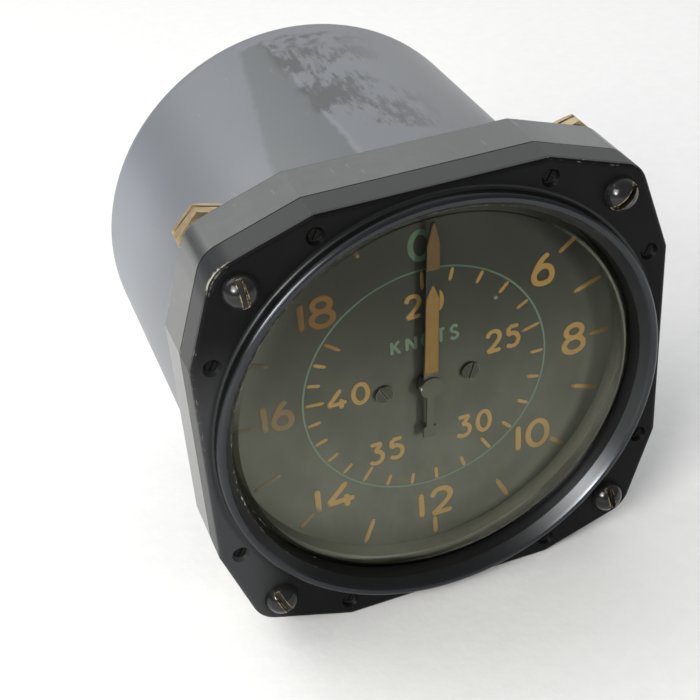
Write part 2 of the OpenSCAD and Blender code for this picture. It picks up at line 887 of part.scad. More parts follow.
module link() {
    eye_r = pin_r + running_gap;
    foot = [crank_at[0], post_pin_z];
    color([0.78, 0.79, 0.80])
    difference() {
        union() {
            rod(eye_r + eye_wall, link_front, link_back, crank_at);
            rod(open_eye_r + eye_wall, link_front, link_back, foot);
            translate([foot[0] - strap_w / 2, link_front, foot[1]])
                cube([strap_w, link_t, crank_at[1] - foot[1]]);
        }
        rod(eye_r, link_front - past, link_back + past, crank_at);
        rod(open_eye_r, link_front - past, link_back + past, foot);
    }
}

module crank() {
    front = capsule_y - tongue_t / 2;
    back = capsule_y + tongue_t / 2;
    color([0.70, 0.61, 0.38])
    difference() {
        union() {
            rod(rock_r + crank_wall, front - crank_boss, back, rock_at);
            rod(crank_w / 2, front, back, crank_at);
            translate([rock_at[0], front, rock_at[1]])
                rotate([0, half_travel, 0])
                    translate([0, 0, -crank_w / 2])
                        cube([crank_r, tongue_t, crank_w]);
        }
        rod(rock_r, front - crank_boss - past, back + past, rock_at);
        rod(pin_r, front - past, back + past, crank_at);
    }
}

module crank_pin() {
    color([0.75, 0.76, 0.78])
    pivot_pin(capsule_y - tongue_t / 2, link_back + slip_gap, pin_r + running_gap, crank_at);
}

module rocking_shaft() {
    color([0.66, 0.67, 0.69])
    rod(rock_r, dial_back + shaft_short, lug_back + shaft_over, rock_at);
}

module sector_gear() {
    root_r = sector_pitch_r - root_depth * gear_module;
    tip_r = sector_pitch_r + sector_tip * gear_module;
    turns = [for (k = [-lag_teeth:lead_teeth - 1]) mesh_angle + (k + 0.5) * tooth_pitch];
    teeth = [for (t = turns, p = tooth_points(sector_teeth, sector_pitch_r, root_r, tip_r, backlash, t)) p];
    window_in = sector_hub_r + sector_web;
    window_out = root_r - sector_rim;
    mid = (sector_lead + sector_lag) / 2;
    gap = spoke_turn / 2;
    edges = [[sector_lag + spoke_turn, mid - gap], [mid + gap, sector_lead - spoke_turn]];
    color([0.76, 0.66, 0.36])
    translate([rock_at[0], 0, rock_at[1]])
        difference() {
            union() {
                slab(sector_front, sector_back)
                    polygon(concat(
                        [[0, 0], polar(sector_lag, root_r)], teeth, [polar(sector_lead, root_r)]
                    ));
                rod(sector_hub_r, sector_front, sector_back);
            }
            for (e = edges)
                slab(sector_front - past, sector_back + past)
                    polygon(concat(
                        arc([0, 0], window_out, e[0], e[1], 12),
                        arc([0, 0], window_in, e[1], e[0], 8)
                    ));
            rod(rock_r, sector_front - past, sector_back + past);
        }
}

module sector_collet() {
    color([0.72, 0.62, 0.36])
    difference() {
        rod(rock_r + sector_collet_wall, sector_back, sector_back + sector_collet_len, rock_at);
        rod(rock_r, sector_back - past, sector_back + sector_collet_len + past, rock_at);
    }
}

module spindle() {
    color([0.70, 0.71, 0.73])
    rod(spindle_r, hub_front + hub_skin, back_plate_back - shaft_short);
}

module pinion() {
    root_r = pinion_pitch_r - pinion_root * gear_module;
    tip_r = pinion_pitch_r + pinion_tip * gear_module;
    thin = backlash * gear_ratio / 2;
    turns = [for (k = [0:pinion_teeth - 1]) mesh_angle + 180 + 360 * k / pinion_teeth];
    color([0.70, 0.71, 0.73])
    difference() {
        slab(pinion_front, pinion_back)
            polygon([for (t = turns,
                p = tooth_points(pinion_teeth, pinion_pitch_r, root_r, tip_r, thin, t)) p]);
        rod(spindle_r, pinion_front - past, pinion_back + past);
    }
}

// Radius of the hairspring after a number of turns
function spring_radius(turn) = spring_start_r + (spring_r - spring_start_r) * turn / spring_turns;

module hairspring() {
    steps = 30 * spring_turns;
    walk = [for (i = [0:steps]) i * spring_turns / steps];
    color([0.55, 0.58, 0.66])
    slab(spring_front, spring_back)
        polygon(concat(
            [for (t = walk) polar(360 * t, spring_radius(t) + spring_thick)],
            [for (i = [steps:-1:0]) polar(360 * walk[i], spring_radius(walk[i]) - spring_thick)]
        ));
}

module hairspring_collet() {
    color([0.78, 0.68, 0.36])
    difference() {
        rod(collet_r, spring_front - collet_over, spring_back + collet_over);
        rod(spindle_r, spring_front - collet_over - past, spring_back + collet_over + past);
    }
}

module hairspring_stud() {
    stud_x = spring_r + spring_thick + stud_gap + stud_r;
    color([0.75, 0.66, 0.36])
    rod(stud_r, spring_front - stud_over, back_plate_front, [stud_x, 0]);
}

module pointer() {
    neck_w = 1.3;
    weight_w = 2.4;
    weight_len = 2.2;
    shoulder = 4;
    half = pointer_w / 2;
    color([0.08, 0.08, 0.08])
    rotate([0, pointer_rest, 0])
        difference() {
            union() {
                slab(pointer_front, pointer_back)
                    polygon([
                        [-half, 0], [-half * blade_taper, pointer_len - shoulder], [-tip_half, pointer_len],
                        [tip_half, pointer_len], [half * blade_taper, pointer_len - shoulder], [half, 0]
                    ]);
                slab(pointer_front, pointer_back)
                    polygon([
                        [neck_w / 2, 0], [neck_w / 2, weight_len - tail_len],
                        [weight_w / 2, weight_len - tail_len], [weight_w / 2, -tail_len],
                        [-weight_w / 2, -tail_len], [-weight_w / 2, weight_len - tail_len],
                        [-neck_w / 2, weight_len - tail_len], [-neck_w / 2, 0]
                    ]);
                rod(pointer_eye_r, pointer_front, pointer_back);
            }
            rod(hub_neck_r, pointer_front - past, pointer_back + past);
        }
}

module pointer_hub() {
    color([0.1, 0.1, 0.1])
    difference() {
        union() {
            rod(hub_r, hub_front, pointer_front);
            rod(hub_neck_r, pointer_front, pointer_back);
            rod(hub_foot_r, pointer_back, hub_back);
        }
        rod(spindle_r, hub_front + hub_skin, hub_back + past);
    }
}

// A pipe union through the back of the case: hexagon outside, threaded shank inside
module pipe_union(side) {
    at = [side * union_half, -union_drop];
    end = case_len + washer_t + union_shoulder + union_len;
    difference() {
        union() {
            hex_rod(union_af, case_len + washer_t, case_len + washer_t + union_shoulder, at, 90);
            turned([
                [0, case_inside - union_shank], [union_r, case_inside - union_shank],
                [union_r, end - union_chamfer], [union_r - union_chamfer, end], [0, end]
            ], at);
        }
        rod(union_bore, case_inside - union_shank - past, end + past, at);
    }
}

module pitot_union() {
    color([0.74, 0.63, 0.36]) pipe_union(-1);
}

module static_union() {
    color([0.74, 0.63, 0.36]) pipe_union(1);
}

module union_washers() {
    color([0.30, 0.20, 0.14])
    for (s = [-1, 1]) {
        at = [s * union_half, -union_drop];
        difference() {
            rod(union_af / 2, case_len, case_len + washer_t, at);
            rod(union_r, case_len - past, case_len + washer_t + past, at);
        }
    }
}

module union_nuts() {
    color([0.72, 0.62, 0.36])
    for (s = [-1, 1]) {
        at = [s * union_half, -union_drop];
        difference() {
            hex_rod(union_nut_af, case_inside - union_nut_t, case_inside, at, 90);
            rod(union_r, case_inside - union_nut_t - past, case_inside + past, at);
        }
    }
}

// Centre line of the pitot pipe: a cubic curve that leaves and arrives along the axis
pipe_start = [0, capsule_y + spigot_len, stem_outlet_z];
pipe_end = [-union_half, case_inside - union_shank, -union_drop];
pipe_lead = 14;
pipe_tail = 3;
pipe_bend = [pipe_start, pipe_start + [0, pipe_lead, 0], pipe_end - [0, pipe_tail, 0], pipe_end];

function pipe_point(t) =
    pow(1 - t, 3) * pipe_bend[0] + 3 * t * pow(1 - t, 2) * pipe_bend[1]
    + 3 * pow(t, 2) * (1 - t) * pipe_bend[2] + pow(t, 3) * pipe_bend[3];

function pipe_heading(t) =
    let (d = pow(1 - t, 2) * (pipe_bend[1] - pipe_bend[0])
        + 2 * t * (1 - t) * (pipe_bend[2] - pipe_bend[1])
        + pow(t, 2) * (pipe_bend[3] - pipe_bend[2]))
    d / norm(d);

module pitot_pipe() {
    rings = 24;
    sides = 12;
    points = [for (i = [0:rings], k = [0:sides - 1])
        let (
            heading = pipe_heading(i / rings),
            across = cross(heading, [0, 0, 1]),
            side = across / norm(across),
            up = cross(side, heading),
            turn = 360 * k / sides
        )
        pipe_point(i / rings) + pipe_r * (cos(turn) * side + sin(turn) * up)];
    walls = [for (i = [0:rings - 1], k = [0:sides - 1])
        let (a = i * sides, b = (i + 1) * sides, n = (k + 1) % sides)
        [a + k, b + k, b + n, a + n]];
    first = [for (k = [0:sides - 1]) k];
    last = [for (k = [sides - 1:-1:0]) rings * sides + k];
    color([0.72, 0.46, 0.32])
    polyhedron(points, concat(walls, [first, last]));
}

case();
bezel();
glass();
glass_seal();
glass_holder();
case_gasket();
bezel_screws();
panel_screws();
panel_nuts();
lock_nuts();
dial();
dial_screws();
front_plate();
front_plate_screws();
pillars();
back_plate();
back_plate_screws();
spindle_front_bush();
spindle_back_bush();
rocker_front_bush();
rocker_back_bush();
stop_pins();
movement_frame();
frame_screws();
capsule();
capsule_stem();
capsule_nut();
capsule_post();
post_pin();
link();
crank();
crank_pin();
rocking_shaft();
sector_gear();
sector_collet();
spindle();
pinion();
hairspring();
hairspring_collet();
hairspring_stud();
pointer();
pointer_hub();
pitot_union();
static_union();
union_washers();
union_nuts();
pitot_pipe();
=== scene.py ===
import bpy
import numpy as np
from mathutils import Matrix, Vector


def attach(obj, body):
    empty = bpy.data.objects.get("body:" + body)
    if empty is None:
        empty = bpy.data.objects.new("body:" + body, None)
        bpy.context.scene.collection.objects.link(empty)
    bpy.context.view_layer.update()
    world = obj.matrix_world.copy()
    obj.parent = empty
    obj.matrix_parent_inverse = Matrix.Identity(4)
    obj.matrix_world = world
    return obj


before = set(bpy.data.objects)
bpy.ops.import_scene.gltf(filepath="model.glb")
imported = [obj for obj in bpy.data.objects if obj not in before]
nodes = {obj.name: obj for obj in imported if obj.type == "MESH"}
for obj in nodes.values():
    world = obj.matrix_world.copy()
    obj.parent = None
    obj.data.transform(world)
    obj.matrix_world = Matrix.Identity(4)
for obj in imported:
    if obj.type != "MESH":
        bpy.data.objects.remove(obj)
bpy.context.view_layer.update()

# Camera: it looks down at the dial from the front left with a long lens, and leans a little to one
# side, as the outline of the flange in the photograph shows.
eye = Vector((-0.069846, -0.170285, 0.141295))
to_right = Vector((0.93431, -0.34982, -0.06846))
to_top = Vector((0.25451, 0.52020, 0.81524))
ahead = Vector((0.24958, 0.77911, -0.57506))
lens = bpy.data.cameras.new("camera")
lens.sensor_width = 36.0
lens.lens = 72.11
lens.clip_start = 0.005
lens.shift_x = -0.0007
lens.shift_y = 0.0010
camera = bpy.data.objects.new("camera", lens)
camera.matrix_world = Matrix((to_right, to_top, -ahead)).transposed().to_4x4()
camera.matrix_world.translation = eye
bpy.context.scene.collection.objects.link(camera)
bpy.context.scene.camera = camera

# Studio: a wide pale sheet lies under the part. Soft daylight comes from above, behind and the
# right, with broad lamps behind and before it at the left, a small window beside the second, and
# a low lamp at the front right that lights the dial.
MM = 0.001
floor_level, floor_reach = -40.84, 40000.0
sheet_grey, sheet_white = (0.79, 0.79, 0.78, 1), (0.85, 0.85, 0.84, 1)
sky_tone = (0.96, 0.98, 1.0, 1)
all_round_glow, back_glow, top_glow = 0.12, 0.90, 0.10
part_middle = Vector((0, 0.03, 0))


def new_finish(name):
    """A material with its node tree and its Principled shader."""
    finish = bpy.data.materials.new(name)
    finish.use_nodes = True
    return finish, finish.node_tree, finish.node_tree.nodes["Principled BSDF"]


def wire(tree, node, sockets):
    """Sets a node's inputs: another node's output is linked, a plain value is typed in."""
    for key, value in sockets.items():
        if isinstance(value, bpy.types.NodeSocket):
            tree.links.new(value, node.inputs[key])
        else:
            node.inputs[key].default_value = value
    return node


def add(tree, kind, sockets, **settings):
    """One node with its own settings and inputs."""
    node = tree.nodes.new("ShaderNode" + kind)
    for key, value in settings.items():
        setattr(node, key, value)
    return wire(tree, node, sockets)


def place(tree):
    """The point on the piece, in metres in the part's frame."""
    return add(tree, "TexCoord", {}).outputs["Object"]


def mottle(tree, size, detail=3.0, rough=0.55, stretch=(1, 1, 1), where=None):
    """Cloudy noise from 0 to 1 whose clouds are about size millimetres wide, times stretch."""
    scaled = add(tree, "Mapping", {"Vector": where or place(tree),
                                   "Scale": [1 / s for s in stretch]})
    return add(tree, "TexNoise", {"Vector": scaled.outputs[0], "Scale": 1 / (size * MM),
                                  "Detail": detail, "Roughness": rough}).outputs["Fac"]


def ease(tree, value, low, high):
    """0 at low, 1 at high and a smooth step between them, either of which may be the larger."""
    return add(tree, "MapRange", {"Value": value, "From Min": low, "From Max": high},
               interpolation_type="SMOOTHSTEP").outputs["Result"]


def calc(tree, operation, *values):
    """One sum on one, two or three values."""
    return add(tree, "Math", dict(enumerate(values)), operation=operation).outputs[0]


def times(tree, product, *values):
    """The product of two or more values."""
    for value in values:
        product = calc(tree, "MULTIPLY", product, value)
    return product


def tint(tree, share, first, second):
    """The first colour where share is 0 and the second where it is 1."""
    return add(tree, "Mix", {0: share, 6: first, 7: second}, data_type="RGBA").outputs[2]


def grain(tree, value, depth, strength=0.5):
    """A bumped normal: value raises the surface by up to depth millimetres."""
    return add(tree, "Bump", {"Height": value, "Distance": depth * MM,
                              "Strength": strength}).outputs[0]


def lay_mesh(name, points, faces, finish, smooth=True):
    """A mesh object at the origin from an array of points in millimetres and lists of corners."""
    mesh = bpy.data.meshes.new(name)
    mesh.from_pydata((np.asarray(points) * MM).tolist(), [], faces)
    mesh.polygons.foreach_set("use_smooth", np.full(len(mesh.polygons), smooth))
    mesh.materials.append(finish)
    mesh.update()
    piece = bpy.data.objects.new(name, mesh)
    bpy.context.scene.collection.objects.link(piece)
    return piece


def hang_lamp(name, spot, width, power, colour):
    """A square soft lamp at spot, turned to the middle of the part."""
    lamp = bpy.data.lights.new(name, "AREA")
    lamp.size = width
    lamp.energy = power
    lamp.color = colour
    holder = bpy.data.objects.new(name, lamp)
    holder.location = spot
    holder.rotation_euler = (part_middle - Vector(spot)).to_track_quat("-Z", "Y").to_euler()
    holder.visible_camera = False
    bpy.context.scene.collection.objects.link(holder)
    return holder


sheet_finish, tree, shader = new_finish("pale_sheet")
cloud = mottle(tree, 3.0, 4.0)
wire(tree, shader, {"Base Color": tint(tree, cloud, sheet_grey, sheet_white),
                    "Roughness": 0.7, "Specular IOR Level": 0.3,
                    "Normal": grain(tree, cloud, 0.2)})
sheet_corners = [(x * floor_reach, y * floor_reach, floor_level)
                 for x, y in ((-1, -1), (1, -1), (1, 1), (-1, 1))]
sheet = lay_mesh("pale_sheet", sheet_corners, [(0, 1, 2, 3)], sheet_finish)

sky = bpy.data.worlds.new("daylight")
sky.use_nodes = True
tree = sky.node_tree
way = add(tree, "SeparateXYZ", {0: add(tree, "TexCoord", {}).outputs["Generated"]}).outputs
high = ease(tree, way[2], 0.05, 0.6)
side = times(tree, ease(tree, way[0], -0.3, 0.55), ease(tree, way[2], -0.05, 0.2))
behind = times(tree, ease(tree, way[1], -0.35, 0.6), calc(tree, "MAXIMUM", high, side))
glow = calc(tree, "MULTIPLY_ADD", behind, back_glow, all_round_glow)
glow = calc(tree, "ADD", glow, times(tree, high, top_glow))
wire(tree, tree.nodes["Background"], {"Color": sky_tone, "Strength": glow})
bpy.context.scene.world = sky
bpy.context.scene.view_settings.view_transform = "Standard"

hang_lamp("back_lamp", (-0.55, 0.50, 0.80), 0.8, 6.0, (1.0, 0.99, 0.98))
hang_lamp("left_lamp", (-0.60, -0.42, 0.46), 0.42, 6.5, (1.0, 0.99, 0.97))
right_lamp = hang_lamp("right_lamp", (0.49, -0.76, 0.12), 0.18, 4.4, (1.0, 0.98, 0.95))
right_lamp.visible_glossy = False
left_window = hang_lamp("left_window", (-0.64, -0.50, 0.36), 0.16, 3.8, (0.97, 0.99, 1.0))
left_window.visible_diffuse = False

# Case: a moulded cup with a square flange, one piece, painted in a dull blue black. A darker strip
# runs along the top of its barrel with flecks of old glue beside it. Painted sheen lightens the
# barrel's left side and the slope of the flange's upper right ear, painted shade darkens the
# flange's upper left corner, and part of the flange's top is darker.
barrel_radius = 39.6 * MM
barrel_dark, barrel_light = (0.105, 0.112, 0.125, 1), (0.135, 0.143, 0.158, 1)
barrel_left_sheen, barrel_right = (0.160, 0.174, 0.205, 1), (0.158, 0.165, 0.173, 1)
strip_tone, strip_border = (0.082, 0.089, 0.094, 1), (0.20, 0.21, 0.22, 1)
glue_tone, scuff_tone = (0.030, 0.031, 0.029, 1), (0.24, 0.25, 0.26, 1)
flange_dark, flange_light = (0.050, 0.052, 0.051, 1), (0.085, 0.087, 0.085, 1)
flange_top_darker, flange_ear_sheen = (0.042, 0.045, 0.041, 1), (0.105, 0.108, 0.104, 1)
flange_corner, corner_shade_tone = (-0.0362, 0.0338, 0), (0.020, 0.022, 0.023, 1)
# The strip's left side leans: its turn from the top, in radians, grows with the depth in metres
strip_lean, strip_start = -4.96, 0.5932
strip_left, strip_right, strip_end = (-0.02, 0.02), (-0.125, -0.150), (0.0692, 0.0681)
border_turn = (-0.150, -0.132, -0.122, -0.108)
flange_gloss, barrel_matt = 0.25, 0.12


def measures(tree):
    """The point on the piece by name: x, y and z, flat, the point as it is seen along the dial's
    axis, and out, the distance from that axis."""
    x, y, z = add(tree, "SeparateXYZ", {0: place(tree)}).outputs
    flat = add(tree, "CombineXYZ", {0: x, 1: z}).outputs[0]
    out = add(tree, "VectorMath", {0: flat}, operation="LENGTH").outputs["Value"]
    return {"x": x, "y": y, "z": z, "flat": flat, "out": out}


def zone(tree, at, **borders):
    """The share of a soft-edged zone: the product of a smooth step along each named measure. Two
    numbers are where a step starts and ends, four are a band that rises between the first two and
    falls between the last two."""
    steps = []
    for name, border in borders.items():
        steps.append(ease(tree, at[name], *border[:2]))
        if len(border) == 4:
            steps.append(ease(tree, at[name], border[3], border[2]))
    return times(tree, *steps)


def gap(tree, where, centre):
    """How far a point is from centre."""
    return add(tree, "VectorMath", {0: where, 1: centre}, operation="DISTANCE").outputs["Value"]


def dress(finish, *names):
    """Gives CAD nodes a finish."""
    for name in names:
        nodes[name].data.materials.clear()
        nodes[name].data.materials.append(finish)


case_finish, tree, shader = new_finish("case_paint")
at = measures(tree)
at["turn"] = calc(tree, "ARCTAN2", at["x"], at["z"])
barrel = zone(tree, at, y=(0.0158, 0.0162))
above = zone(tree, at, z=(0.0, 0.01))
ragged = times(tree, calc(tree, "SUBTRACT", mottle(tree, 3.5, 5.0), 0.5), 0.12)
slant = calc(tree, "MULTIPLY_ADD", at["y"], strip_lean, strip_start)
slant = calc(tree, "ADD", calc(tree, "ADD", at["turn"], slant), times(tree, ragged, 0.35))
brink = calc(tree, "ADD", at["turn"], times(tree, ragged, 0.4))
far = ease(tree, calc(tree, "ADD", at["y"], times(tree, ragged, 0.03)), *strip_end)
strip = times(tree, ease(tree, slant, *strip_left), ease(tree, brink, *strip_right),
              far, barrel, above)
border = times(tree, zone(tree, {"turn": brink}, turn=border_turn), far, above, barrel)

unrolled = times(tree, at["turn"], barrel_radius)
unrolled = add(tree, "CombineXYZ", {0: unrolled, 1: at["y"]}).outputs[0]
streaks = add(tree, "Mapping", {"Vector": unrolled, "Rotation": (0, 0, 0.06)}).outputs[0]
cluster = times(tree, mottle(tree, 9.0, 2.0), 0.45)
fleck = times(tree, mottle(tree, 2.6, 10.0, 0.78, (0.45, 2.2, 1), streaks), 0.55)
fleck = ease(tree, calc(tree, "ADD", fleck, cluster), 0.492, 0.562)
patch = ease(tree, mottle(tree, 4.0, 5.0, 0.65), 0.46, 0.58)
patch = times(tree, patch, zone(tree, at, y=(0.0600, 0.0640)))
field = zone(tree, at, turn=(-0.19, -0.13, 0.10, 0.44), y=(0.0197, 0.0247))
glue = times(tree, calc(tree, "MAXIMUM", fleck, patch), field, far, above)

# The flange's tone: mottled, darker along part of its top, with painted sheen on the upper right
# ear and painted shade at the upper left corner.
wear_and_painted_light = tint(tree, mottle(tree, 4.0, 6.0, 0.65), flange_dark, flange_light)
# Part of the flange's top is darker.
darker_top = zone(tree, at, x=(-0.004, 0.010), z=(0.0398, 0.0404))
wear_and_painted_light = tint(tree, times(tree, darker_top, 0.6), wear_and_painted_light, flange_top_darker)
# Painted sheen: the slope of the upper right ear is lighter.
rubbed_and_sheen = zone(tree, at, x=(0.0225, 0.0260), z=(0.022, 0.030, 0.0394, 0.0402))
wear_and_painted_light = tint(tree, times(tree, rubbed_and_sheen, 0.6), wear_and_painted_light, flange_ear_sheen)
# Painted shade darkens the flange's rounded upper left corner.
corner_shade = ease(tree, gap(tree, at["flat"], flange_corner), 0.0046, 0.0022)
wear_and_painted_light = tint(tree, times(tree, corner_shade, 0.6), wear_and_painted_light, corner_shade_tone)
paint = tint(tree, mottle(tree, 22.0, 4.0), barrel_dark, barrel_light)
# Painted sheen: a lighter, bluer tone on the left side of the barrel.
left = zone(tree, at, turn=(-0.70, -1.15), y=(0.030, 0.060))
paint = tint(tree, times(tree, left, 0.8), paint, barrel_left_sheen)
right = zone(tree, at, turn=(0.22, 0.50))
paint = tint(tree, times(tree, right, 0.7), paint, barrel_right)
paint = tint(tree, barrel, wear_and_painted_light, paint)
paint = tint(tree, strip, paint, strip_tone)
paint = tint(tree, times(tree, border, 0.25), paint, strip_border)
paint = tint(tree, times(tree, glue, 0.9), paint, glue_tone)
scuff = ease(tree, mottle(tree, 0.9, 2.0, 0.5, (1, 6, 1)), 0.70, 0.76)
paint = tint(tree, times(tree, scuff, 0.25), paint, scuff_tone)
matt = calc(tree, "MULTIPLY_ADD", calc(tree, "ADD", barrel, strip), barrel_matt, flange_gloss)
wire(tree, shader, {"Base Color": paint, "Roughness": matt, "Specular IOR Level": 0.9})
dress(case_finish, "case")

# Movement: turned and stamped pieces of brass, steel, bronze, light metal and copper behind the
# dial. Each metal has its own tone, cloudy tarnish and a fine tool grain.


def metal_finish(name, bright, tarnish, rough, size=2.0):
    """A bare metal: two tones mixed by clouds of the given size, and a finely brushed surface."""
    finish, tree, shader = new_finish(name)
    cloud = mottle(tree, size, 5.0, 0.6)
    fine = mottle(tree, 0.12, 2.0, 0.5, (1, 8, 1))
    wire(tree, shader, {"Base Color": tint(tree, ease(tree, cloud, 0.35, 0.7), bright, tarnish),
                        "Metallic": 1.0, "Roughness": calc(tree, "MULTIPLY_ADD", cloud, 0.2, rough),
                        "Normal": grain(tree, fine, 0.01)})
    return finish


brass = metal_finish("brass", (0.64, 0.50, 0.27, 1), (0.38, 0.28, 0.14, 1), 0.30)
steel = metal_finish("steel", (0.58, 0.58, 0.59, 1), (0.42, 0.42, 0.43, 1), 0.25)
blued = metal_finish("spring_steel", (0.20, 0.26, 0.42, 1), (0.14, 0.18, 0.32, 1), 0.25)
bronze = metal_finish("capsule_bronze", (0.62, 0.47, 0.26, 1), (0.47, 0.33, 0.17, 1), 0.32)
light_metal = metal_finish("frame_metal", (0.62, 0.62, 0.60, 1), (0.48, 0.48, 0.47, 1), 0.40)
copper = metal_finish("copper_pipe", (0.66, 0.36, 0.22, 1), (0.42, 0.22, 0.14, 1), 0.30)
dress(brass, "front_plate", "pillars", "back_plate", "spindle_front_bush", "spindle_back_bush",
      "rocker_front_bush", "rocker_back_bush", "sector_gear", "sector_collet", "crank",
      "capsule_stem", "capsule_nut", "hairspring_collet", "hairspring_stud", "union_nuts",
      "pitot_union", "static_union")
dress(steel, "front_plate_screws", "back_plate_screws", "stop_pins", "frame_screws", "capsule_post",
      "post_pin", "link", "crank_pin", "rocking_shaft", "spindle", "pinion")
dress(blued, "hairspring")
dress(bronze, "capsule")
dress(light_metal, "movement_frame")
dress(copper, "pitot_pipe")

# Union washers: rings punched from red fibre sheet, pinched between the back wall and the hexagons
# of the two pipe unions.
fibre_dark, fibre_light = (0.16, 0.06, 0.04, 1), (0.27, 0.12, 0.08, 1)
fibre, tree, shader = new_finish("fibre")
cloud = mottle(tree, 0.6, 4.0, 0.6, (1, 4, 1))
wire(tree, shader, {"Base Color": tint(tree, cloud, fibre_dark, fibre_light),
                    "Roughness": 0.75, "Normal": grain(tree, cloud, 0.03)})
dress(fibre, "union_washers")

# Dial: a thin disc painted a dull olive black and screwed to the movement's front plate. Fine dust
# lies on its lower part, and one pale speck. Painted light lifts the bezel's shade along its lower
# right edge, and a band along its left edge is lighter.
dial_face = 7.15
olive_dark, olive_light = (0.039, 0.039, 0.033, 1), (0.047, 0.047, 0.040, 1)
dusty_dark, dusty_light = (0.140, 0.142, 0.121, 1), (0.168, 0.170, 0.147, 1)
right_edge_light, left_edge_tone = (0.25, 0.252, 0.219, 1), (0.20, 0.199, 0.172, 1)
speck_tone, speck_spot = (0.24, 0.24, 0.20, 1), (0.0130, dial_face * MM, 0.0130)


def settled_dust(tree, at):
    """The share of fine dust on the dial and its marks: 0 near the top and 1 in the lower part, a
    little further down at the right."""
    level = calc(tree, "ADD", at["z"], times(tree, at["x"], 0.1))
    return ease(tree, level, 0.026, -0.022)


dial_finish, tree, shader = new_finish("dial_black")
at = measures(tree)
smear = ease(tree, mottle(tree, 8.0, 5.0, 0.6, (1.0, 1, 1.5)), 0.34, 0.66)
face = tint(tree, mottle(tree, 9.0, 5.0, 0.6), olive_dark, olive_light)
face = tint(tree, settled_dust(tree, at), face, tint(tree, smear, dusty_dark, dusty_light))
# Painted light: a lighter tone along the lower right edge, lifting the shade that the bezel casts
# there.
right = zone(tree, at, out=(0.0290, 0.0352), x=(0.004, 0.022), z=(0.024, -0.010))
face = tint(tree, right, face, right_edge_light)
# A band along the left edge is lighter.
left = zone(tree, at, out=(0.0280, 0.0340), x=(-0.016, -0.028), z=(-0.020, -0.004, 0.017, 0.028))
face = tint(tree, times(tree, left, 0.42), face, left_edge_tone)
dust = times(tree, ease(tree, mottle(tree, 0.5, 3.0), 0.70, 0.80), 0.25)
speck = ease(tree, gap(tree, place(tree), speck_spot), 0.00045, 0.00025)
face = tint(tree, calc(tree, "MAXIMUM", dust, speck), face, speck_tone)
wire(tree, shader, {"Base Color": face, "Roughness": 0.7, "Specular IOR Level": 0.2})
dress(dial_finish, "dial")

# Dial screws: two small slotted screws of brass, blackened, that hold the dial left and right of
# its centre. The edges of their slots are worn bright.
dull_dark, dull_light = (0.050, 0.050, 0.042, 1), (0.080, 0.080, 0.066, 1)
slot_bright = (0.36, 0.34, 0.26, 1)


def edge_share(tree, radius):
    """0 on a flat and up to 1 at an edge: how far a normal blurred over radius millimetres leaves
    the true one."""
    blurred = add(tree, "Bevel", {"Radius": radius * MM}, samples=6).outputs[0]
    true = add(tree, "NewGeometry", {}).outputs["Normal"]
    lean = add(tree, "VectorMath", {0: blurred, 1: true}, operation="DOT_PRODUCT").outputs["Value"]
    return ease(tree, lean, 0.995, 0.90)


dial_screw_finish, tree, shader = new_finish("dial_screw_black")
cloud = mottle(tree, 0.8, 4.0, 0.6)
bare = times(tree, edge_share(tree, 0.12), ease(tree, cloud, 0.35, 0.55))
shade = tint(tree, cloud, dull_dark, dull_light)
wire(tree, shader, {"Base Color": tint(tree, bare, shade, slot_bright),
                    "Roughness": 0.5, "Specular IOR Level": 0.3})
dress(dial_screw_finish, "dial_screws")

# Dial marks: two laps of scale, their numerals, a thin green circle and the green zero and unit
# word. All are brush strokes of thick paint, the amber ones dulled with age at the left.
paint_depth = 0.06
outer_width, inner_width, word_width, zero_width, circle_width = 1.1, 0.85, 0.6, 1.05, 0.34
circle_radius = 22.1
outer_long, outer_short, outer_end, outer_tick_width = 29.3, 30.8, 34.6, outer_width * 0.8
inner_long, inner_short, inner_end, inner_tick_width = 18.4, 19.4, 21.8, inner_width * 0.78
rng = np.random.default_rng(11)


def smooth_path(corners, steps=14):
    """A Catmull-Rom curve through the corners: each span is the cubic that leaves and arrives along
    the chord of its neighbours."""
    corners = np.asarray(corners, float)
    spans = len(corners) - 1
    t = np.linspace(0, spans, spans * steps + 1)
    k = np.minimum(t.astype(int), spans - 1)
    f = (t - k)[:, None]
    ends = np.vstack([2 * corners[0] - corners[1], corners, 2 * corners[-1] - corners[-2]])
    a, b, c, d = ends[k], ends[k + 1], ends[k + 2], ends[k + 3]
    return 0.5 * (2 * b + (c - a) * f + (2 * a - 5 * b + 4 * c - d) * f ** 2
                  + (3 * b - a - 3 * c + d) * f ** 3)


def straight_path(start, end, steps=10):
    """Evenly spaced points from start to end."""
    return np.linspace(np.asarray(start, float), np.asarray(end, float), steps + 1)


def round_path(centre, reach, steps=56):
    """A closed oval: centre plus reach times (sine, cosine), without its last point."""
    turn = np.linspace(0, 2 * np.pi, steps, endpoint=False)
    return np.asarray(centre) + np.asarray(reach) * np.stack([np.sin(turn), np.cos(turn)], 1)


def tube_faces(stations, corners, closed):
    """The faces of a tube whose stations have the same number of corners each: one four-sided face
    joins two neighbouring corners to those of the next station, and an open tube has two caps."""
    i, j = np.meshgrid(np.arange(stations if closed else stations - 1), np.arange(corners),
                       indexing="ij")
    here, beyond = i * corners, (i + 1) % stations * corners
    beside = (j + 1) % corners
    faces = np.stack([here + j, here + beside, beyond + beside, beyond + j], -1)
    faces = faces.reshape(-1, 4).tolist()
    if not closed:
        faces += [list(range(corners))[::-1],
                  list(range((stations - 1) * corners, stations * corners))]
    return faces


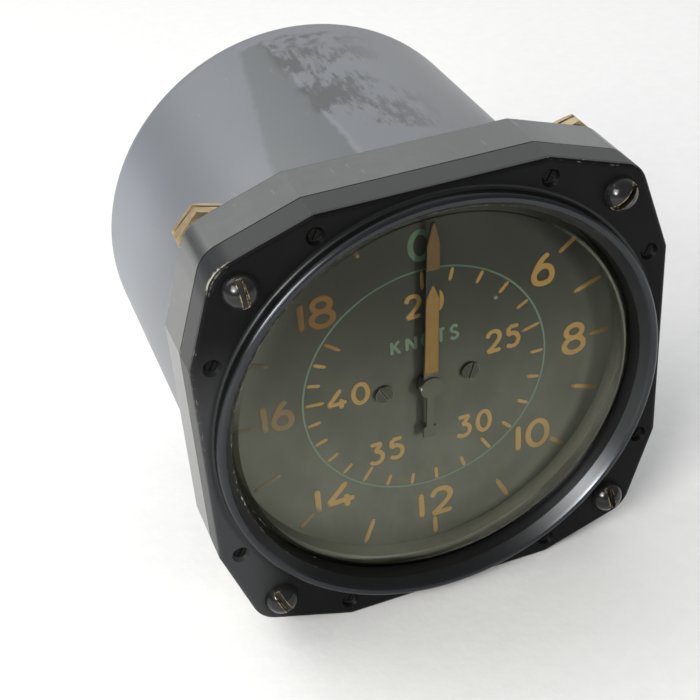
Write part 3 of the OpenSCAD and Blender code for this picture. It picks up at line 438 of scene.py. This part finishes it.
def brush_stroke(path, width, level, depth, closed=False, blunt=0.55):
    """A ribbon of paint along a path on the dial: its height across the path is depth in the middle
    and falls to nothing at the edges, u running from edge to edge. Its width wavers by a few parts
    in a hundred, and narrows to blunt times itself at an open end. Gives points and faces."""
    path = np.asarray(path, float)
    if closed:
        along = np.roll(path, -1, 0) - np.roll(path, 1, 0)
    else:
        along = np.gradient(path, axis=0)
    along /= np.linalg.norm(along, axis=1)[:, None]
    side = np.stack([along[:, 1], -along[:, 0]], 1)
    run = np.concatenate([[0], np.cumsum(np.linalg.norm(np.diff(path, axis=0), axis=1))])
    waver = 1 + 0.035 * np.sin(run / width * 1.3 + rng.uniform(0, 6.3)) * (not closed)
    if not closed:
        near = np.minimum(run, run[-1] - run) / (0.35 * width)
        waver *= blunt + (1 - blunt) * np.sqrt(np.clip(near, 0, 1))
    u = np.array([-1, -0.92, -0.6, 0, 0.6, 0.92, 1, 0.5, -0.5])
    rise = np.array([0, 0.55, 0.9, 1, 0.9, 0.55, 0, -0.2, -0.2])
    flat = path[:, None] + side[:, None] * (u * width / 2)[None, :, None] * waver[:, None, None]
    n, m = flat.shape[:2]
    height = np.broadcast_to(level - depth * rise, (n, m))
    points = np.stack([flat[..., 0], height, flat[..., 1]], -1)
    return points.reshape(-1, 3), tube_faces(n, m, closed)


def gather(strokes):
    """Several strokes as one set of points and faces."""
    points, faces, start = [], [], 0
    for some, corners in strokes:
        points.append(some)
        faces += [[c + start for c in face] for face in corners]
        start += len(some)
    return np.vstack(points), faces


# Each sign is a list of strokes in a box one wide and one high: R a ring, S a curve, L a line
signs = {
    "0": [("R", (0.5, 0.5), (0.5, 0.5))],
    "1": [("L", (0.5, 1), (0.5, 0))],
    "2": [("S", (0.02, 0.72), (0.14, 0.92), (0.45, 1.0), (0.80, 0.93), (0.94, 0.72), (0.82, 0.50),
           (0.45, 0.24), (0.0, 0.0)), ("L", (0.0, 0.0), (1.0, 0.02))],
    "3": [("L", (0.08, 1), (0.95, 1)), ("L", (0.95, 1), (0.40, 0.60)),
          ("S", (0.40, 0.60), (0.74, 0.57), (0.97, 0.36), (0.88, 0.12), (0.55, 0.0), (0.22, 0.02),
           (0.0, 0.13))],
    "4": [("L", (0.74, 1), (0, 0.27)), ("L", (0, 0.27), (1, 0.29)), ("L", (0.72, 0.50), (0.72, 0))],
    "5": [("L", (0.20, 1), (0.97, 1)), ("L", (0.20, 1), (0.12, 0.57)),
          ("S", (0.12, 0.57), (0.45, 0.66), (0.82, 0.56), (0.98, 0.33), (0.82, 0.08), (0.42, 0.0),
           (0.0, 0.10))],
    "6": [("S", (0.80, 1.0), (0.46, 0.84), (0.16, 0.56), (0.01, 0.28), (0.14, 0.07), (0.5, 0.0),
           (0.87, 0.07), (1.0, 0.29), (0.86, 0.52), (0.52, 0.60), (0.20, 0.51), (0.04, 0.36))],
    "8": [("R", (0.5, 0.77), (0.41, 0.23)), ("R", (0.5, 0.27), (0.5, 0.27))],
    "K": [("L", (0, 1), (0, 0)), ("L", (0.95, 1), (0.03, 0.42)), ("L", (0.34, 0.60), (1, 0))],
    "N": [("L", (0, 0), (0, 1)), ("L", (0, 1), (1, 0)), ("L", (1, 0), (1, 1))],
    "O": [("R", (0.5, 0.5), (0.5, 0.5))],
    "T": [("L", (0, 1), (1, 1)), ("L", (0.5, 1), (0.5, 0))],
    "S": [("S", (0.93, 0.85), (0.65, 1.0), (0.30, 0.98), (0.06, 0.78), (0.25, 0.57), (0.72, 0.44),
           (0.96, 0.22), (0.72, 0.02), (0.30, 0.0), (0.02, 0.15))],
}


def draw_sign(sign, left, right, bottom, top, width):
    """The strokes of one sign, drawn so that their outer edges fill the box in millimetres."""
    low = np.array([left, bottom]) + width / 2
    span = np.maximum(np.array([right - left, top - bottom]) - width, 0)
    drawn = []
    for kind, *marks in signs[sign]:
        spots = np.array(marks)
        if kind == "R":
            path = round_path(low + spots[0] * span, spots[1] * span)
        elif kind == "S":
            path = smooth_path(low + spots * span)
        else:
            path = straight_path(low + spots[0] * span, low + spots[1] * span)
        drawn.append(brush_stroke(path, width, dial_face, paint_depth, kind == "R"))
    return drawn


def draw_signs(boxes, width):
    """The strokes of several signs, each in its own box."""
    return [stroke for sign, *box in boxes for stroke in draw_sign(sign, *box, width)]


def draw_tick(turn, inner, outer, width):
    """A straight mark on the dial from one radius to another, at degrees clockwise from the top."""
    way = np.array([np.sin(np.radians(turn)), np.cos(np.radians(turn))])
    return brush_stroke(straight_path(way * inner, way * outer, 6), width, dial_face, paint_depth)


def dry_paint(tree, shader, colour, size=0.2, depth=0.03):
    """Old matt paint of a colour, its grain size millimetres wide and depth high."""
    wire(tree, shader, {"Base Color": colour, "Roughness": 0.8, "Specular IOR Level": 0.2,
                        "Normal": grain(tree, mottle(tree, size, 3.0), depth)})


# A box is left, right, bottom and top in millimetres from the dial's centre
outer_boxes = [("1", -21.35, -20.25, 15.9, 22.2), ("8", -19.6, -14.9, 15.9, 22.2),
               ("1", -29.35, -28.25, -1.9, 4.5), ("6", -27.8, -23.6, -1.9, 4.5),
               ("1", -21.75, -20.65, -22.6, -16.1), ("4", -20.0, -14.0, -22.6, -16.1),
               ("1", -2.65, -1.55, -30.6, -24.0), ("2", -0.6, 4.3, -30.6, -24.0),
               ("1", 16.55, 17.65, -21.7, -15.1), ("0", 18.5, 23.4, -21.7, -15.1),
               ("8", 25.4, 30.2, -3.2, 3.6), ("6", 19.4, 23.9, 12.8, 19.5)]
inner_boxes = [("2", -3.4, -0.1, 13.1, 18.0), ("0", 0.3, 3.7, 13.1, 18.0),
               ("2", 10.9, 14.2, 1.9, 6.8), ("5", 14.5, 17.6, 1.9, 6.8),
               ("3", 4.9, 8.2, -14.5, -9.5), ("0", 8.8, 12.0, -14.5, -9.5),
               ("3", -11.5, -8.3, -14.9, -10.0), ("5", -7.8, -4.6, -14.9, -10.0),
               ("4", -18.2, -14.0, -1.1, 3.6), ("0", -13.6, -10.2, -1.1, 3.6)]
zero_boxes = [("0", -2.3, 2.2, 23.7, 29.7)]
word_boxes = [("K", -6.2, -4.2, 6.9, 10.0), ("N", -3.5, -1.3, 6.9, 10.0),
              ("O", -0.7, 1.5, 6.9, 10.0), ("T", 1.9, 3.9, 6.9, 10.0), ("S", 4.4, 6.3, 6.9, 10.0)]
outer_turns = [53, 70.3, 89.5, 109.9, 131, 154.3, 179.3, 202.6, 226.1, 248, 270.7, 293, 315.4, 339]
inner_turns = [0, 14.4, 29.5, 44.6, 60, 75.1, 90.5, 105.1, 119.8, 134.2, 148.1, 162.7, 177.1, 189.8,
               202.6, 215.8, 228, 239.5, 251.3, 263, 274.3, 284.9, 295.7, 306.5]

amber, tree, shader = new_finish("amber_paint")
amber_dark, amber_light = (0.305, 0.187, 0.062, 1), (0.375, 0.234, 0.081, 1)
dusty_amber_dark, dusty_amber_light = (0.400, 0.265, 0.120, 1), (0.475, 0.322, 0.152, 1)
amber_ruddy = (0.18, 0.100, 0.043, 1)
faded_top, faded_low = (0.058, 0.054, 0.040, 1), (0.172, 0.158, 0.120, 1)
at = measures(tree)
cloud = mottle(tree, 0.9, 4.0, 0.6)
low = settled_dust(tree, at)
paint_tone = tint(tree, cloud, amber_dark, amber_light)
paint_tone = tint(tree, low, paint_tone, tint(tree, cloud, dusty_amber_dark, dusty_amber_light))
ruddy = zone(tree, at, x=(-0.010, -0.016), z=(0.008, 0.015))
paint_tone = tint(tree, ruddy, paint_tone, amber_ruddy)
left = calc(tree, "ADD", at["x"], times(tree, mottle(tree, 3.0), 0.006))
left = times(tree, ease(tree, left, -0.0165, -0.0210), 0.66)
rim = zone(tree, at, out=(0.0290, 0.0302), x=(-0.006, -0.011), z=(-0.029, -0.020))
rim = times(tree, rim, 0.93)
faded = tint(tree, low, faded_top, faded_low)
dry_paint(tree, shader, tint(tree, calc(tree, "MAXIMUM", left, rim), paint_tone, faded))
marks = draw_signs(outer_boxes, outer_width)
marks += [draw_tick(turn, outer_long if k % 2 else outer_short, outer_end, outer_tick_width)
          for k, turn in enumerate(outer_turns)]
outer_scale = lay_mesh("outer_scale", *gather(marks), amber)
last_tick = len(inner_turns) - 1
marks = draw_signs(inner_boxes, inner_width)
marks += [draw_tick(turn, inner_short if k % 5 and k != last_tick else inner_long, inner_end,
                    inner_tick_width) for k, turn in enumerate(inner_turns)]
inner_scale = lay_mesh("inner_scale", *gather(marks), amber)

green, tree, shader = new_finish("green_paint")
green_shaded_dark, green_shaded_light = (0.080, 0.122, 0.086, 1), (0.106, 0.158, 0.112, 1)
green_middle, green_low = (0.145, 0.208, 0.150, 1), (0.190, 0.260, 0.200, 1)
at = measures(tree)
paint_tone = tint(tree, mottle(tree, 1.2, 4.0, 0.6), green_shaded_dark, green_shaded_light)
# Painted shade: the green is darker at the top, where the ring shades it, and lighter below.
paint_tone = tint(tree, zone(tree, at, z=(0.021, 0.012)), paint_tone, green_middle)
dry_paint(tree, shader, tint(tree, settled_dust(tree, at), paint_tone, green_low))
marks = draw_signs(zero_boxes, zero_width) + draw_signs(word_boxes, word_width)
unit_marks = lay_mesh("unit_marks", *gather(marks), green)
circle = brush_stroke(round_path((0, 0), (circle_radius, circle_radius), 240), circle_width,
                      dial_face, paint_depth * 0.7, True)
scale_circle = lay_mesh("scale_circle", *circle, green)
for piece in (outer_scale, inner_scale, unit_marks, scale_circle):
    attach(piece, "case")

# Pointer: a blade of thin sheet with a short tail, pressed on a hub, both painted black. Two fields
# of amber paint fill its upper side, pointed at the top and cut square at the foot.
pointer_face, field_depth = 5.25, 0.08
rest_turn = np.radians(3.1)
blade_dark, blade_light = (0.034, 0.034, 0.029, 1), (0.042, 0.042, 0.036, 1)
hub_dark, hub_light = (0.112, 0.113, 0.097, 1), (0.130, 0.131, 0.113, 1)
glint_tone, glint_spot = (0.75, 0.74, 0.70, 1), (-0.0021, 0.0049, 0.0004)
field_dark, field_light = (0.226, 0.136, 0.052, 1), (0.278, 0.170, 0.066, 1)
tip_field = (0.128, 0.080, 0.042, 1)
pointer_finish, tree, shader = new_finish("pointer_black")
cloud = mottle(tree, 1.5, 4.0)
hub = zone(tree, measures(tree), z=(0.014, -0.003))
shade = tint(tree, hub, tint(tree, cloud, blade_dark, blade_light),
             tint(tree, cloud, hub_dark, hub_light))
# A painted glint: a pale spot on the hub's left edge.
chip_and_glint = ease(tree, gap(tree, place(tree), glint_spot), 0.00045, 0.00030)
wire(tree, shader, {"Base Color": tint(tree, chip_and_glint, shade, glint_tone),
                    "Roughness": 0.6, "Specular IOR Level": 0.25})
dress(pointer_finish, "pointer", "pointer_hub")


def blade_field(foot, shoulder, tip, foot_width, shoulder_width):
    """A field of paint on the blade: r runs from foot to tip, u from edge to edge. Half its width
    goes straight from the foot to the shoulder and from there to a blunt point, and its height is
    field_depth inside and nothing at the edges."""
    r = np.concatenate([np.linspace(foot, shoulder, 20), np.linspace(shoulder, tip, 10)[1:]])
    half = np.interp(r, [foot, shoulder, tip], [foot_width / 2, shoulder_width / 2, 0.16])
    u = np.array([-1, -0.95, -0.7, 0, 0.7, 0.95, 1, 0.5, -0.5])
    rise = np.array([0, 0.7, 1, 1, 1, 0.7, 0, -0.2, -0.2])
    x, z = u[None, :] * half[:, None], np.broadcast_to(r[:, None], (len(r), len(u)))
    points = np.stack([x * np.cos(rest_turn) + z * np.sin(rest_turn),
                       np.broadcast_to(pointer_face - field_depth * rise, x.shape),
                       z * np.cos(rest_turn) - x * np.sin(rest_turn)], -1)
    return points.reshape(-1, 3), tube_faces(*x.shape, False)


pointer_amber, tree, shader = new_finish("pointer_amber")
out = add(tree, "VectorMath", {0: place(tree)}, operation="LENGTH").outputs["Value"]
paint_tone = tint(tree, mottle(tree, 1.6, 4.0, 0.6), field_dark, field_light)
dry_paint(tree, shader, tint(tree, ease(tree, out, 0.0225, 0.0232), paint_tone, tip_field), 0.25, 0.04)
fields = [blade_field(2.7, 17.4, 19.9, 2.52, 2.28), blade_field(22.8, 27.4, 31.25, 2.34, 2.26)]
pointer_fields = lay_mesh("pointer_fields", *gather(fields), pointer_amber)
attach(pointer_fields, "pointer")

# Glass: a flat clear disc with a ground bevel, held under the bezel's lip. Its bevel is painted
# dark with shade in the lower half, and a thin painted line of shade runs round it at the top. A
# line of dust lies along the lower bevel, partly a painted glow, and a faint film of painted light
# lifts the shade at the lower right.
clear_tone, dark_tone = (0.97, 0.98, 0.96, 1), (0.35, 0.35, 0.32, 1)
dust_and_light_tone, gloss_tone = (0.21, 0.212, 0.170, 1), (1, 1, 1, 1)
lift_centre = (-0.0018, 0.0042, 0.0)
glass_finish, tree, shader = new_finish("window_glass")
at = measures(tree)
front = zone(tree, at, y=(0.00285, 0.00205))
lower = calc(tree, "SUBTRACT", times(tree, at["x"], 0.25), times(tree, at["z"], 0.8))
lower = ease(tree, lower, -0.020, -0.006)
upper = ease(tree, calc(tree, "ADD", at["z"], times(tree, at["x"], 0.5)), 0.018, 0.030)
# Painted shade: a thin dark line near the glass's edge at the top.
upper_shadow_line = times(tree, zone(tree, at, out=(0.03445, 0.03458, 0.03469, 0.03482)), upper)
# A line of dust along the lower bevel, lighter than dust alone: partly a painted glow of the bevel.
dust_and_light_film = zone(tree, at, out=(0.03415, 0.03455, 0.03460, 0.03500), x=(-0.012, 0.008))
dust_and_light_film = times(tree, dust_and_light_film, lower, 0.38)
# Painted light: a faint film at the lower right lifts the shade on the holder behind it.
painted_lift = ease(tree, gap(tree, at["flat"], lift_centre), 0.0325, 0.0362)
painted_lift = times(tree, painted_lift, zone(tree, at, out=(0.0350, 0.0347), x=(-0.012, 0.014), z=(0.006, -0.012)),
             0.20)
dust_and_light_film = times(tree, calc(tree, "MAXIMUM", dust_and_light_film, painted_lift), front)
# Painted shade: the bevel is darkened in the lower half.
shaded_bevel = times(tree, zone(tree, at, out=(0.03469, 0.03490)), lower, 1.6)
dark = calc(tree, "MINIMUM", calc(tree, "ADD", upper_shadow_line, shaded_bevel), 1.55)
dark = times(tree, dark, front)
mirror = add(tree, "Fresnel", {"IOR": 1.3}).outputs[0]
mirror = times(tree, mirror, ease(tree, mirror, 0.024, 0.060), front)
clear = add(tree, "BsdfTransparent", {"Color": tint(tree, dark, clear_tone, dark_tone)})
haze_and_glow = add(tree, "BsdfDiffuse", {"Color": dust_and_light_tone})
gloss = add(tree, "BsdfGlossy", {"Color": gloss_tone, "Roughness": 0.2})
veil = add(tree, "MixShader", {0: dust_and_light_film, 1: clear.outputs[0], 2: haze_and_glow.outputs[0]})
pane = add(tree, "MixShader", {0: mirror, 1: veil.outputs[0], 2: gloss.outputs[0]})
tree.links.new(pane.outputs[0], tree.nodes["Material Output"].inputs["Surface"])
tree.nodes.remove(shader)
dress(glass_finish, "glass")

# Glass seal, glass holder and dial rim: a soft ring and a turned ring that press the glass home,
# and a thin turned rim that fills the gap between holder and dial, all a dusty olive. Their lower
# part, and the lower right most, are painted far lighter, lifting the shade that falls there.
rim_in, rim_out, rim_front, rim_back = 35.3, 36.2, 5.70, 7.14
holder_dark, holder_light = (0.070, 0.071, 0.060, 1), (0.085, 0.086, 0.073, 1)
lifted_low_dark, lifted_low_light = (0.37, 0.372, 0.330, 1), (0.42, 0.422, 0.375, 1)
lifted_right_dark, lifted_right_light = (0.44, 0.442, 0.390, 1), (0.49, 0.492, 0.437, 1)
holder_finish, tree, shader = new_finish("holder_olive")
cloud = mottle(tree, 3.0, 4.0, 0.6)
at = measures(tree)
# Painted light: the lower part, and the lower right most, are far lighter, lifting the shade that
# the bezel casts there.
low = zone(tree, at, z=(0.020, -0.028), x=(-0.034, -0.006))
right = times(tree, low, zone(tree, at, x=(0.004, 0.022)))
shade = tint(tree, low, tint(tree, cloud, holder_dark, holder_light),
             tint(tree, cloud, lifted_low_dark, lifted_low_light))
shade = tint(tree, right, shade, tint(tree, cloud, lifted_right_dark, lifted_right_light))
wire(tree, shader, {"Base Color": shade, "Roughness": 0.7, "Specular IOR Level": 0.2})
dress(holder_finish, "glass_seal", "glass_holder")


def turned_ring(profile, steps=180):
    """A closed profile of (radius, depth) corners carried round the dial's axis: x is the radius
    times the sine of the turn, z the radius times its cosine."""
    radius, depth = np.asarray(profile, float).T
    turn = np.linspace(0, 2 * np.pi, steps, endpoint=False)[:, None]
    points = np.stack([radius * np.sin(turn), np.broadcast_to(depth, (steps, len(depth))),
                       radius * np.cos(turn)], -1)
    return points.reshape(-1, 3), tube_faces(steps, len(depth), True)


rim_profile = [(rim_in, rim_front), (rim_in, rim_back), (rim_out, rim_back), (rim_out, rim_front)]
dial_rim = lay_mesh("dial_rim", *turned_ring(rim_profile), holder_finish, False)
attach(dial_rim, "case")

# Case gasket: a thin sheet of dark rubber cut to the flange's outline, pinched between flange and
# bezel. It shows as a line round the side.
rubber_dark, rubber_light = (0.018, 0.018, 0.018, 1), (0.035, 0.035, 0.033, 1)
rubber, tree, shader = new_finish("seal_rubber")
cloud = mottle(tree, 0.8)
wire(tree, shader, {"Base Color": tint(tree, cloud, rubber_dark, rubber_light),
                    "Roughness": 0.8, "Normal": grain(tree, cloud, 0.03)})
dress(rubber, "case_gasket")

# Bezel: a square plate with corner ears and a raised dished ring, machined in one piece and painted
# satin black. The paint is chipped to the pale metal along its edges and dusty in places. Its sides
# are lighter than its face with painted sheen, and darker near the upper left corner with painted
# shade; its face is lighter towards the lower left.
plate_dark, plate_light = (0.0022, 0.0022, 0.0025, 1), (0.0045, 0.0045, 0.0048, 1)
plate_lower_left_tone = (0.034, 0.035, 0.037, 1)
side_sheen_tone, side_shade = (0.052, 0.054, 0.053, 1), (0.014, 0.015, 0.017, 1)
dish_tone, crest_tone = (0.036, 0.037, 0.038, 1), (0.046, 0.048, 0.052, 1)
chip_metal, plate_dust = (0.42, 0.39, 0.32, 1), (0.22, 0.21, 0.19, 1)
shade_spot, corner_spot = (-0.0358, 0.0344, 0), (-0.0354, 0.0004, 0.0342)
bezel_finish, tree, shader = new_finish("bezel_paint")
at = measures(tree)
ring = zone(tree, at, out=(0.0400, 0.0396))
crest = zone(tree, at, y=(-0.0016, -0.0020))
# The plate's sides, found by the way they face, take a lighter tone than its face: a painted sheen.
facing = add(tree, "SeparateXYZ", {0: add(tree, "NewGeometry", {}).outputs["Normal"]}).outputs[1]
rim = ease(tree, calc(tree, "ABSOLUTE", facing), 0.45, 0.20)
rim = times(tree, rim, zone(tree, at, out=(0.0402, 0.0405)))
paint = tint(tree, mottle(tree, 6.0, 4.0), plate_dark, plate_light)
# The face is lighter towards the lower left.
paint = tint(tree, zone(tree, at, x=(-0.028, -0.037), z=(0.026, 0.008)), paint, plate_lower_left_tone)
# Painted shade darkens the plate's sides near the upper left corner.
corner_shade = ease(tree, gap(tree, at["flat"], shade_spot), 0.0052, 0.0026)
paint = tint(tree, rim, paint, tint(tree, times(tree, corner_shade, 0.85), side_sheen_tone, side_shade))
paint = tint(tree, ring, paint, tint(tree, crest, dish_tone, crest_tone))

corner = ease(tree, gap(tree, place(tree), corner_spot), 0.0044, 0.0018)
left_side = zone(tree, at, x=(-0.0385, -0.0395), z=(-0.008, 0.006))
upper_right = zone(tree, at, x=(0.012, 0.022), z=(0.028, 0.034))
throat = calc(tree, "SUBTRACT", at["x"], times(tree, at["z"], 0.6))
throat = times(tree, zone(tree, at, out=(0.0372, 0.0368)), ease(tree, throat, 0.004, -0.016))
wear_and_painted_light = times(tree, calc(tree, "MAXIMUM", left_side, throat), 0.62)
wear_and_painted_light = calc(tree, "MAXIMUM", wear_and_painted_light, times(tree, upper_right, 0.50))
wear_and_painted_light = calc(tree, "MAXIMUM", wear_and_painted_light, corner)
flaky = calc(tree, "ADD", mottle(tree, 1.3, 6.0, 0.65), times(tree, wear_and_painted_light, 0.30))
edge = times(tree, calc(tree, "MULTIPLY_ADD", throat, 3.0, 1.0), edge_share(tree, 0.45))
chip_and_glint = times(tree, calc(tree, "MINIMUM", edge, 1.0), ease(tree, flaky, 0.72, 0.78))
rubbed_and_sheen = zone(tree, at, z=(-0.014, -0.006), out=(0.0369, 0.0366), y=(0.0002, -0.0001))
rubbed_and_sheen = times(tree, rubbed_and_sheen, throat, ease(tree, mottle(tree, 0.7, 3.0), 0.56, 0.62))
front_edge = times(tree, corner, rim, zone(tree, at, y=(0.0010, 0.0005)),
                   ease(tree, mottle(tree, 1.1, 4.0), 0.46, 0.56))
chip_and_glint = calc(tree, "MAXIMUM", chip_and_glint, calc(tree, "MAXIMUM", rubbed_and_sheen, front_edge))
dust = times(tree, ease(tree, mottle(tree, 0.35, 2.0), 0.77, 0.81), 0.4)
paint = tint(tree, dust, paint, plate_dust)
sheen = times(tree, calc(tree, "SUBTRACT", ring, chip_and_glint), 0.9)
matt = calc(tree, "MULTIPLY_ADD", calc(tree, "ADD", ring, crest), -0.08, 0.42)
wire(tree, shader, {"Base Color": tint(tree, chip_and_glint, paint, chip_metal),
                    "Metallic": calc(tree, "MAXIMUM", sheen, 0.0),
                    "Roughness": matt, "Specular IOR Level": 0.09})
dress(bezel_finish, "bezel")

# Bezel screws: eight small slotted screws of blackened brass that hold the bezel to the flange.
# They are sunk in dimples along the flats, and matt with dirt.
sunk_dark, sunk_light = (0.003, 0.003, 0.003, 1), (0.008, 0.008, 0.007, 1)
sunk_finish, tree, shader = new_finish("sunk_screw_black")
cloud = mottle(tree, 0.5, 4.0, 0.6)
wire(tree, shader, {"Base Color": tint(tree, cloud, sunk_dark, sunk_light),
                    "Roughness": 0.6, "Specular IOR Level": 0.1,
                    "Normal": grain(tree, cloud, 0.03)})
dress(sunk_finish, "bezel_screws")

# Panel screws: brass, blackened, through the corners of bezel and flange. Their round heads are
# worn to the metal along their slots.
head_dark, head_light = (0.008, 0.008, 0.009, 1), (0.016, 0.015, 0.014, 1)
bare_brass = (0.52, 0.40, 0.20, 1)
screw_finish, tree, shader = new_finish("screw_black")
cloud = mottle(tree, 1.1, 5.0, 0.6)
top = zone(tree, measures(tree), y=(-0.0005, -0.0010))
bare = times(tree, edge_share(tree, 0.26), top, ease(tree, cloud, 0.42, 0.54))
shade = tint(tree, cloud, head_dark, head_light)
wire(tree, shader, {"Base Color": tint(tree, bare, shade, bare_brass),
                    "Metallic": times(tree, bare, 0.9), "Roughness": 0.18,
                    "Specular IOR Level": 0.32})
dress(screw_finish, "panel_screws")

# Nuts: pairs of brass hexagons, run up the panel screws and locked against each other behind the
# flange. They are dull with age, and dark along their joint.
joint_depth, joint_dark = 0.01836, (0.02, 0.016, 0.012, 1)
nut_finish = metal_finish("nut_brass", (0.56, 0.44, 0.26, 1), (0.38, 0.29, 0.16, 1), 0.28, 2.5)
tree = nut_finish.node_tree
shader = tree.nodes["Principled BSDF"]
joint = calc(tree, "SUBTRACT", measures(tree)["y"], joint_depth)
joint = ease(tree, calc(tree, "ABSOLUTE", joint), 0.00026, 0.00014)
old_brass = shader.inputs["Base Color"].links[0].from_socket
wire(tree, shader, {"Base Color": tint(tree, joint, old_brass, joint_dark)})
dress(nut_finish, "panel_nuts", "lock_nuts")
